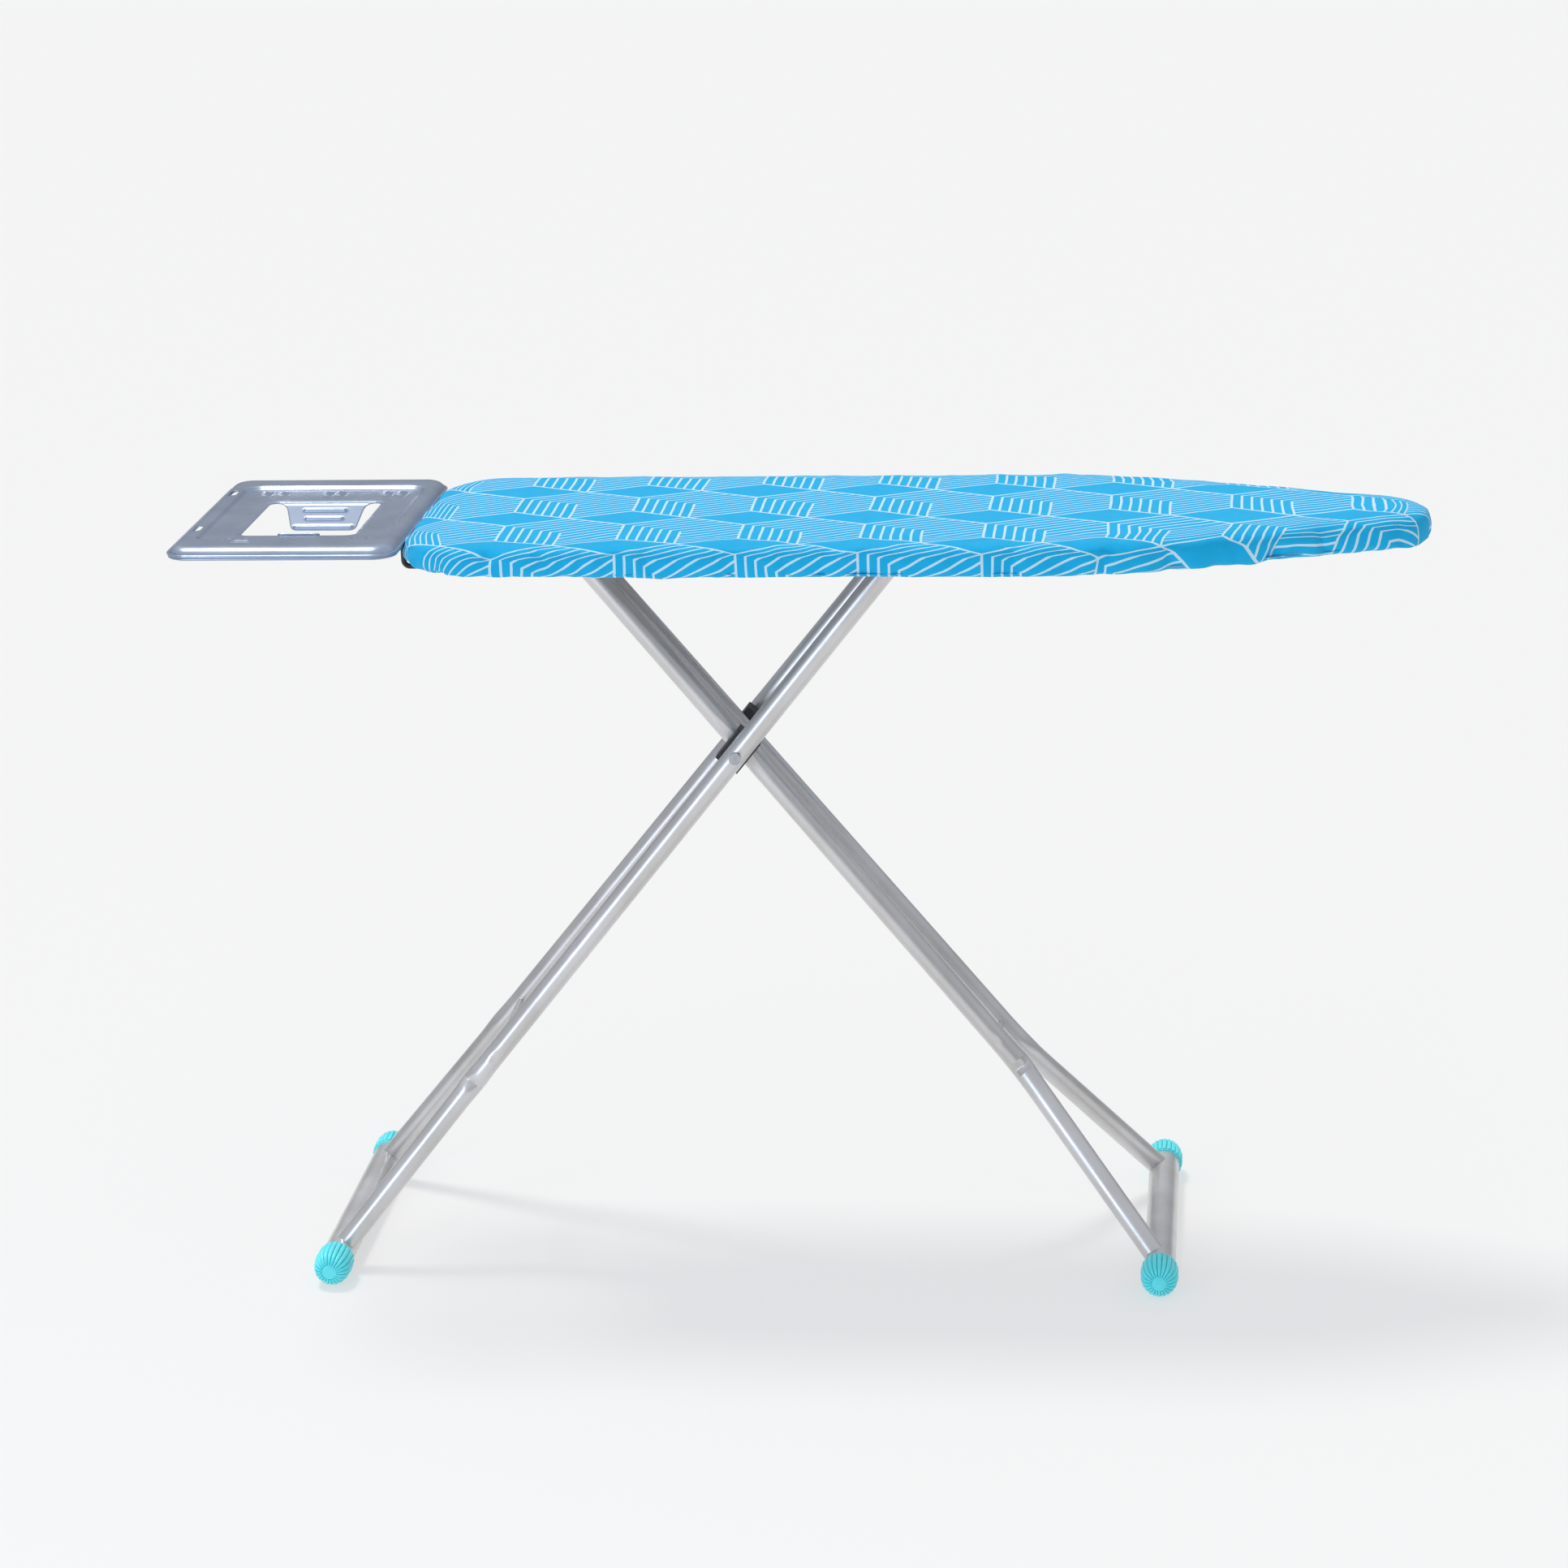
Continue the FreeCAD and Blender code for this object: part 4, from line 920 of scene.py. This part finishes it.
REST_X0, REST_X1, REST_HALF = -0.700, -0.441, 0.180
REST_TOP, REST_LOW, PANEL = 0.880, 0.871, 0.876
WINDOW = (-0.6325, -0.5005, 0.083)
WINDOW_Y = -0.0125
REST_X, REST_HALF_X = (REST_X0 + REST_X1) / 2, (REST_X1 - REST_X0) / 2
WINDOW_X, WINDOW_HALF_X = (WINDOW[0] + WINDOW[1]) / 2, (WINDOW[1] - WINDOW[0]) / 2
REST_CORNER, REST_SHEET = 0.026, 0.0011
TAB_PLACES = (-0.648, -0.628, -0.5745, -0.5595, -0.504, -0.4865)
TABS = [(x, side * 0.116 - 0.006) for x in TAB_PLACES for side in (-1, 1)]
# (x, y, half length, half width, corner) of the slots through the rim
SLOTS = [(-0.6840, 0.1000, 0.0052, 0.0130, 0.0050), (-0.6840, -0.0800, 0.0052, 0.0130, 0.0050),
         (-0.6200, -0.1465, 0.0125, 0.0056, 0.0054)]


def rest_height(x, y):
    """Height of the pressed tray: rolled rim, step down to the panel, ribs and wire tabs."""
    edge = -rounded_box(x, y, REST_X, 0, REST_HALF_X, REST_HALF, REST_CORNER)
    rise = 1 - (1 - np.clip(edge / 0.022, 0, 1)) ** 4
    z = REST_LOW + (REST_TOP - REST_LOW) * rise
    recess_x0, recess_x1, recess_y = -0.6690, -0.4670, 0.1295
    rx, rhx = (recess_x0 + recess_x1) / 2, (recess_x1 - recess_x0) / 2
    inner = -rounded_box(x, y, rx, 0, rhx, recess_y, 0.014)
    z = z - (REST_TOP - PANEL) * smooth_step((inner + 0.0085) / 0.007)
    # shallow step beside the window
    z = z + 0.0003 * np.exp(-((inner - 0.010) / 0.0016) ** 2)
    mouth = rounded_box(x, y, WINDOW_X, WINDOW_Y, WINDOW_HALF_X, WINDOW[2], 0.012)
    z = z - 0.0016 * (1 - smooth_step(mouth / 0.006))
    for tx, ty in TABS:
        gap = rounded_box(x, y, tx, ty, 0.0052, 0.0110, 0.0040)
        z = z + 0.0015 * smooth_step(-gap / 0.0046)
        slit = rounded_box(x, y, tx + 0.0074, ty, 0.0016, 0.0100, 0.0012)
        z = z - 0.0011 * smooth_step((0.0008 - slit) / 0.0022)
    return z


def past_tray(x, y):
    """Signed distance to the tray's sheet: negative in the sheet, positive outside and in its holes."""
    away = rounded_box(x, y, REST_X, 0, REST_HALF_X, REST_HALF, REST_CORNER)
    away = np.maximum(away, -rounded_box(x, y, WINDOW_X, WINDOW_Y, WINDOW_HALF_X, WINDOW[2], 0.010))
    for slot in SLOTS:
        away = np.maximum(away, -rounded_box(x, y, *slot))
    return away


def tray_sheet():
    """Grid over the tray, drawn to its edges, with the window and the slots left open."""
    step, small = 0.0014, 1e-5
    xs = np.linspace(REST_X0, REST_X1, int((REST_X1 - REST_X0) / step) + 1)
    ys = np.linspace(-REST_HALF, REST_HALF, int(2 * REST_HALF / step) + 1)
    x, y = np.meshgrid(xs, ys, indexing="ij")
    for _ in range(3):
        away = past_tray(x, y)
        gx = (past_tray(x + small, y) - past_tray(x - small, y)) / (2 * small)
        gy = (past_tray(x, y + small) - past_tray(x, y - small)) / (2 * small)
        near = np.abs(away) < step * 0.72
        x = np.where(near, x - gx * away, x)
        y = np.where(near, y - gy * away, y)
    keep = past_tray(x, y) < 2 * small
    index = -np.ones(x.shape, int)
    index[keep] = np.arange(int(keep.sum()))
    verts = np.stack([x[keep], y[keep], rest_height(x, y)[keep]], axis=1)
    faces = []
    for i in range(x.shape[0] - 1):
        for j in range(x.shape[1] - 1):
            corners = [index[i, j], index[i + 1, j], index[i + 1, j + 1], index[i, j + 1]]
            solid = [int(v) for v in corners if v >= 0]
            if len(solid) >= 3:
                faces.append(tuple(solid))
    mesh = raw_mesh("tray", verts, faces)
    work = bmesh.new()
    work.from_mesh(mesh)
    bmesh.ops.dissolve_degenerate(work, edges=work.edges, dist=small)
    bmesh.ops.delete(work, geom=[v for v in work.verts if not v.link_faces], context="VERTS")
    work.to_mesh(mesh)
    work.free()
    return mesh


def rolled_edge(name, level, grow):
    """One turn of the rolled outer edge, all round the tray."""
    wire, steps = 0.0017, 12
    path = []
    for quarter, (sx, sy) in enumerate(((1, 1), (-1, 1), (-1, -1), (1, -1))):
        corner_x, corner_y = REST_X + sx * (REST_HALF_X - REST_CORNER), sy * (REST_HALF - REST_CORNER)
        for i in range(steps + 1):
            a = math.pi / 2 * (quarter + i / steps)
            reach = REST_CORNER + grow
            path.append(Vector((corner_x + reach * math.cos(a), corner_y + reach * math.sin(a), level)))
    rings = []
    for i, point in enumerate(path):
        tangent = (path[(i + 1) % len(path)] - path[i - 1]).normalized()
        side = tangent.cross(ALONG_Z).normalized()
        rings.append(ring_round(point, side * wire, ALONG_Z * wire, 12))
    verts, faces = loft(rings + [rings[0]], caps=False)
    mesh_piece("iron_rest_rolled_edge_" + name, verts, faces, "rest_steel", "board", [])


def window_lip():
    """Small folded lip on the window's near edge."""
    near, far, steps = -0.0965, -0.0949, 16
    rings = []
    for i in range(steps + 1):
        x = -0.588 + 0.048 * i / steps
        high = 0.0017 * min(1.0, math.sqrt(max(0.0, 1 - (abs(i - steps / 2) / 8.3) ** 6)))
        section = ((near, -0.002), (near, high - 0.001), ((near + far) / 2, high), (far, high - 0.001),
                   (far, -0.002))
        rings.append([Vector((x, y, PANEL + level)) for y, level in section])
    verts, faces = loft(rings)
    mesh_piece("iron_rest_window_lip", verts, faces, "rest_steel", "board", [])


def make_rest():
    """Tray pressed from one sheet with its window, slots, wire tabs and the bent-down flap."""
    tray = thickened("tray", tray_sheet(), REST_SHEET)
    flap = thickened("flap", raw_mesh("flap", *flap_sheet(WINDOW_X)), REST_SHEET)
    work = bmesh.new()
    work.from_mesh(tray)
    work.from_mesh(flap)
    joined = bpy.data.meshes.new("iron_rest_tray")
    work.to_mesh(joined)
    work.free()
    dress("iron_rest_tray", joined, "rest_steel", "board", ["iron_rest"])
    rolled_edge("upper", REST_LOW - 0.0002, 0.0)
    rolled_edge("lower", REST_LOW - 0.0031, -0.0009)
    window_lip()


def flap_sheet(middle):
    """Grid of the flap: it leaves the window's far edge, bends down and ends in a rolled lip."""
    bend, angle, straight = 0.008, math.radians(44), 0.034
    arc = bend * angle
    across, downs = 60, 44
    length = 0.003 + arc + straight
    root = WINDOW_Y + WINDOW[2]
    verts, faces = [], []
    for j in range(downs + 1):
        s = length * j / downs - 0.003
        if s < 0:
            y, z, n = root - s, 0.0, (0.0, 1.0)
        elif s < arc:
            t = s / bend
            y, z, n = root - bend * math.sin(t), -bend * (1 - math.cos(t)), (-math.sin(t), math.cos(t))
        else:
            r = s - arc
            y = root - bend * math.sin(angle) - r * math.cos(angle)
            z = -bend * (1 - math.cos(angle)) - r * math.sin(angle)
            n = (-math.sin(angle), math.cos(angle))
        flare = 0.013 * (1 - math.sqrt(max(0.0, 1 - (1 - min(max(s, 0.0) / 0.013, 1.0)) ** 2)))
        half = 0.0480 - 0.0110 * max(s, 0) / length + flare
        tip = max(0.0, (s - (length - 0.003 - 0.006)) / 0.006)
        half -= 0.006 * (1 - math.sqrt(max(0.0, 1 - min(tip, 1.0) ** 2)))
        for i in range(across + 1):
            x = middle + half * (2 * i / across - 1)
            out = 0.0
            for rib_s, rib_half in ((0.0125, 0.0235), (0.0240, 0.0205)):
                gap = math.hypot(max(abs(x - middle) - rib_half, 0), s - rib_s)
                out += 0.0021 * ease(1 - gap / 0.0032)
            lip = math.hypot(max(abs(x - middle) - 0.033, 0), s - (length - 0.0075))
            out += 0.0018 * ease(1 - lip / 0.0036)
            verts.append((x, y + n[0] * out, PANEL - 0.0016 + z + n[1] * out))
    for j in range(downs):
        for i in range(across):
            a = j * (across + 1) + i
            faces.append((a, a + across + 1, a + across + 2, a + 1))
    return verts, faces


# ---------------------------------------------------------------- leg tubes


def leg_line(direction, offsets, side):
    """Axis of one tube: straight, a formed bend, then out to the foot bar."""
    drop = HINGE_HEIGHT - CROSSING.z
    arm = math.hypot(HALF_SPREAD, drop)
    unit = Vector((direction * HALF_SPREAD / arm, 0, -drop / arm))
    top = Vector((CROSSING.x - direction * HALF_SPREAD, 0, HINGE_HEIGHT))
    length = (HINGE_HEIGHT - 0.022) / drop * arm
    high = top + Vector((0, side * offsets[0], 0))
    bend = top + unit * 0.806 + Vector((0, side * offsets[1], 0))
    low = top + unit * length + Vector((0, side * 0.140, 0))
    return high, bend, low, arm


def make_leg_tube(name, node, body, direction, offsets, side):
    high, bend, low, arm = leg_line(direction, offsets, side)
    first, last = (bend - high).normalized(), (low - bend).normalized()
    turn = first.angle(last)
    radius = 0.075
    reach = radius * math.tan(turn / 2)
    start, stop = bend - first * reach, bend + last * reach
    inward = (last - first).normalized()
    centre = bend + inward * (radius / math.cos(turn / 2))
    points = []
    back = (start - centre).normalized() * radius

    def straight(a, b, steps):
        for i in range(steps):
            points.append(a + (b - a) * i / steps)

    straight(high, start, 150)
    for i in range(28):
        t = turn * i / 28
        points.append(centre + back * math.cos(t) + first * radius * math.sin(t))
    straight(stop, low, 50)
    points.append(low)
    outward = Vector((0, side, 0))
    sides = 40
    rings = []
    total = 0.0
    middle_of_bend = (bend - high).length - reach + turn * radius / 2
    dimple_at = 0.764
    for i, point in enumerate(points):
        if i:
            total += (point - points[i - 1]).length
        ahead = points[min(i + 1, len(points) - 1)]
        behind = points[max(i - 1, 0)]
        tangent = (ahead - behind).normalized()
        out = (outward - tangent * outward.dot(tangent)).normalized()
        cross = tangent.cross(out)
        crimp = max(0.0, 1 - abs(total - middle_of_bend) / 0.010)
        swell = math.exp(-((total - middle_of_bend) / 0.020) ** 2)
        flat = ease(1 - abs(total - arm) / 0.055) if "inner" in name else 0.0
        ring = []
        for j in range(sides):
            a = math.tau * j / sides
            facing = math.cos(a)
            r = TUBE_R
            r -= 0.0046 * crimp * max(facing, 0.0) ** 2
            r += 0.0010 * swell * (1 - abs(facing))
            gap = math.hypot(total - dimple_at, TUBE_R * math.sin(a))
            if facing > 0:
                r -= 0.0016 * ease(1 - gap / 0.0085)
            u, v = r * math.cos(a), r * math.sin(a)
            limit = TUBE_R - 0.0017 * flat
            u = max(-limit, min(limit, u))
            ring.append(point + out * u + cross * v)
        rings.append(ring)
    verts, faces = loft(rings)
    mesh_piece(name, verts, faces, "silver_paint", body, [node])


# ---------------------------------------------------------------- foot caps


def make_cap(name, node, body):
    """Moulded cap: barrel with rounded ribs that run over its end to a flat disc."""
    low, high = Vector(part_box(node)[0]), Vector(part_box(node)[1])
    centre = (low + high) / 2
    side = 1 if centre.y > 0 else -1
    rim = low.y if side > 0 else high.y
    # (distance from the rim, radius) of the barrel that shows in the grooves
    profile = [(0.0, 0.0184), (0.0004, 0.0193), (0.0012, 0.0196), (0.0100, 0.0194), (0.0200, 0.0195),
               (0.0275, 0.0190), (0.0330, 0.0178), (0.0372, 0.0158), (0.0402, 0.0132), (0.0422, 0.0104),
               (0.0434, 0.0090), (0.0452, 0.0085), (0.0456, 0.0078)]
    rings = []
    for along, radius in profile:
        rings.append(ring_round(ALONG_Y * along, ALONG_Z * radius, ALONG_X * radius, 96))
    barrel = raw_mesh(name + "_barrel", *loft(rings))

    # crest of one rib, then its section across: (share of the half width, depth below the crest)
    crest = [(0.0012, 0.0206), (0.0028, 0.0213), (0.0090, 0.0217), (0.0160, 0.0219), (0.0225, 0.0218),
             (0.0285, 0.0213), (0.0340, 0.0202), (0.0385, 0.0184), (0.0418, 0.0159), (0.0440, 0.0130),
             (0.0452, 0.0106), (0.0455, 0.0084)]
    across = [(-1.0, 0.0026), (-0.94, 0.0011), (-0.55, 0.0003), (0.0, 0.0), (0.55, 0.0003), (0.94, 0.0011),
              (1.0, 0.0026)]
    ribs_round = 22
    rib_rings = []
    for i, (along, radius) in enumerate(crest):
        before, after = crest[max(i - 1, 0)], crest[min(i + 1, len(crest) - 1)]
        run_along, run_out = after[0] - before[0], after[1] - before[1]
        size = math.hypot(run_along, run_out)
        normal = Vector((0, -run_out / size, run_along / size))
        half = math.pi * radius / ribs_round * 0.88
        top = Vector((0, along, radius))
        rib_rings.append([top - normal * depth + Vector((half * share, 0, 0)) for share, depth in across])
    rib = cleaned(raw_mesh(name + "_rib", *loft(rib_rings)))
    tree, number, coat = copies_tree(name + "_ribs", ribs_round)
    ribs = grown(rib, tree, [(number, ribs_round), (coat, FINISH["turquoise_plastic"])])
    work = bmesh.new()
    work.from_mesh(barrel)
    bmesh.ops.recalc_face_normals(work, faces=work.faces)
    work.from_mesh(ribs)
    turn = Matrix.Identity(4) if side > 0 else Matrix.Rotation(math.pi, 4, "Z")
    place = Matrix.Translation((centre.x, rim, centre.z)) @ turn
    bmesh.ops.transform(work, matrix=place, verts=work.verts)
    joined = bpy.data.meshes.new(name)
    work.to_mesh(joined)
    work.free()
    dress(name, joined, "turquoise_plastic", body, [node])


# ---------------------------------------------------------------- small parts


def make_rivets(name, node):
    """Domed rivets where the plain ones are, one for each."""
    source = frame["nodes"][node].data
    work = bmesh.new()
    work.from_mesh(source)
    bmesh.ops.remove_doubles(work, verts=work.verts, dist=1e-6)
    islands, left = [], set(work.verts)
    while left:
        stack, island = [left.pop()], []
        while stack:
            vert = stack.pop()
            island.append(vert)
            for edge in vert.link_edges:
                other = edge.other_vert(vert)
                if other in left:
                    left.remove(other)
                    stack.append(other)
        islands.append(island)
    spots = []
    for island in islands:
        xs, ys, zs = [[v.co[i] for v in island] for i in range(3)]
        spots.append(((min(xs) + max(xs)) / 2, (min(ys) + max(ys)) / 2, max(zs)))
    work.free()
    dome = ((0.0, 0.0043), (-0.0004, 0.0043), (-0.0010, 0.0038), (-0.0015, 0.0028), (-0.0018, 0.0014))
    rings = [ring_round(ALONG_Z * level, ALONG_X * radius, ALONG_Y * radius, 20) for level, radius in dome]
    verts, faces = loft(rings)
    scatter(name, verts, faces, spots, "zinc_steel", "board", [node])


def make_spring():
    """Torsion spring of round wire on the lever's pivot bolt, with a leg each way."""
    low, high = Vector(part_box("lever_spring")[0]), Vector(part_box("lever_spring")[1])
    bolt_low, bolt_high = Vector(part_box("lever_pivot_bolt")[0]), Vector(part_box("lever_pivot_bolt")[1])
    pivot = (bolt_low + bolt_high) / 2
    tree, coat = spiral_tree("lever_spring_tree")
    seed = bpy.data.meshes.new("spring_seed")
    mesh = grown(seed, tree, [(coat, FINISH["zinc_steel"])])
    work = bmesh.new()
    work.from_mesh(mesh)
    top = high.y
    place = Matrix.Translation((pivot.x, top - 0.0002, pivot.z)) @ Matrix.Rotation(math.pi / 2, 4, "X")
    bmesh.ops.transform(work, matrix=place, verts=work.verts)
    for end_x, y_at in ((high.x, top - 0.0002), (low.x, low.y + 0.0008)):
        foot = Vector((pivot.x, y_at, pivot.z + COIL_R))
        tip = Vector((end_x, y_at, pivot.z + COIL_R))
        rings = [ring_round(point, ALONG_Y * SPRING_WIRE_R, ALONG_Z * SPRING_WIRE_R, 8)
                 for point in (foot, foot.lerp(tip, 0.5), tip)]
        work.from_mesh(raw_mesh("leg", *loft(rings)))
    bmesh.ops.recalc_face_normals(work, faces=work.faces)
    joined = bpy.data.meshes.new("lever_spring_coil")
    work.to_mesh(joined)
    work.free()
    dress("lever_spring_coil", joined, "zinc_steel", "board", ["lever_spring"])


def make_grip():
    """Moulded sleeve on the lever's tail with finger ridges."""
    low, high = Vector(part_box("lever_grip")[0]), Vector(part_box("lever_grip")[1])
    centre = (low + high) / 2
    rings = []
    steps = 64
    for i in range(steps + 1):
        share = i / steps
        x = low.x + (high.x - low.x) * share
        end = min(1.0, math.sqrt(max(0.0, 1 - max(0.0, 1 - share / 0.14) ** 2)))
        shoulder = 1 - 0.12 * ease((share - 0.9) / 0.1)
        ridged = ease((share - 0.18) / 0.1) * ease((0.86 - share) / 0.1)
        ridge = 1 + 0.045 * math.sin(share * math.tau * 7) * ridged
        half = max(0.0079 * end * shoulder * ridge, 0.0001)
        rings.append(ring_round(Vector((x, centre.y, centre.z)), ALONG_Y * half, ALONG_Z * half, 28))
    verts, faces = loft(rings)
    mesh_piece("lever_grip_moulded", verts, faces, "black_plastic", "lever", ["lever_grip"])


# ---------------------------------------------------------------- making everything

make_cover()
make_pad()
make_hem_elastic()
make_plate()
make_rest()
for place, side in (("front", -1), ("rear", 1)):
    make_leg_tube("inner_leg_tube_" + place, "inner_tube_" + place, "inner_leg", 1, (0.019, 0.033), side)
    make_leg_tube("outer_leg_tube_" + place, "outer_tube_" + place, "outer_leg", -1, (0.056, 0.099), side)
    for leg in ("inner", "outer"):
        make_cap("%s_cap_%s" % (leg, place), "%s_foot_cap_%s" % (leg, place), leg + "_leg")
make_rivets("bracket_rivet_heads", "bracket_rivets")
make_rivets("rail_rivet_heads", "rail_rivets")
make_spring()
make_grip()

# ---------------------------------------------------------------- stage, light and camera


def make_stage():
    reach = 30
    corners = [(-reach, -reach, 0), (reach, -reach, 0), (reach, reach, 0), (-reach, reach, 0)]
    floor = placed("floor", raw_mesh("floor", corners, [(0, 1, 2, 3)]))
    # a light table: part of its brightness is its own, so shadows on it stay faint
    material, _, shader, _ = finish_of("pale_floor", Roughness=0.9, Emission_Strength=0.55)
    shader.inputs["Base Color"].default_value = paint("#9a9a9a")
    shader.inputs["Emission Color"].default_value = paint("#ffffff")
    shader.inputs["Specular IOR Level"].default_value = 0.0
    floor.data.materials.append(material)


def make_light(name, place, aim, size, power, colour):
    lamp = bpy.data.lights.new(name, "AREA")
    lamp.shape = "RECTANGLE"
    lamp.size, lamp.size_y = size
    lamp.energy = power
    lamp.color = paint(colour)[:3]
    light = placed(name, lamp)
    light.location = place
    light.rotation_euler = (Vector(aim) - Vector(place)).to_track_quat("-Z", "Y").to_euler()


def make_sun(name, toward, spread, strength, colour):
    """Soft even light from one direction, the same over the whole floor."""
    lamp = bpy.data.lights.new(name, "SUN")
    lamp.energy = strength
    lamp.angle = math.radians(spread)
    lamp.color = paint(colour)[:3]
    light = placed(name, lamp)
    light.rotation_euler = Vector(toward).to_track_quat("Z", "Y").to_euler()


def make_world():
    """Studio surround: dim at the horizon, bright overhead."""
    world = bpy.data.worlds.new("studio")
    bpy.context.scene.world = world
    world.use_nodes = True
    tree = world.node_tree
    ground = tree.nodes["Background"]
    place = add(tree, "ShaderNodeTexCoord").outputs["Generated"]
    split = add(tree, "ShaderNodeSeparateXYZ", (place,))
    rise = add(tree, RAMP, {"Value": split.outputs[2], "From Min": 0.05, "From Max": 0.55})
    tree.links.new(blend(tree, rise, paint("#8d9096"), paint("#f4f8ff")), ground.inputs["Color"])
    ground.inputs["Strength"].default_value = 0.75


def make_camera():
    yaw, pitch, roll = math.radians(6.38), math.radians(16.67), math.radians(-1.74)
    ahead = Vector((-math.sin(yaw) * math.cos(pitch), math.cos(yaw) * math.cos(pitch), -math.sin(pitch)))
    right = Vector((math.cos(yaw), math.sin(yaw), 0))
    above = right.cross(ahead)
    across = right * math.cos(roll) + above * math.sin(roll)
    upright = above * math.cos(roll) - right * math.sin(roll)
    data = bpy.data.cameras.new("camera")
    data.sensor_width = 36.0
    data.lens = 96.8
    data.clip_end = 100.0
    camera = placed("camera", data)
    turn = Matrix((across, upright, -ahead)).transposed()
    camera.matrix_world = Matrix.Translation((0.4877, -4.6514, 1.9554)) @ turn.to_4x4()
    bpy.context.scene.camera = camera


make_stage()
make_world()
make_sun("key", (-0.28, 0.24, 1.0), 14, 1.6, "#fffaf2")
make_light("strip", (-2.0, -3.4, 1.0), (0, 0, 0.4), (0.8, 2.6), 40, "#dbe9ff")
make_camera()
bpy.context.scene.view_settings.view_transform = "Standard"
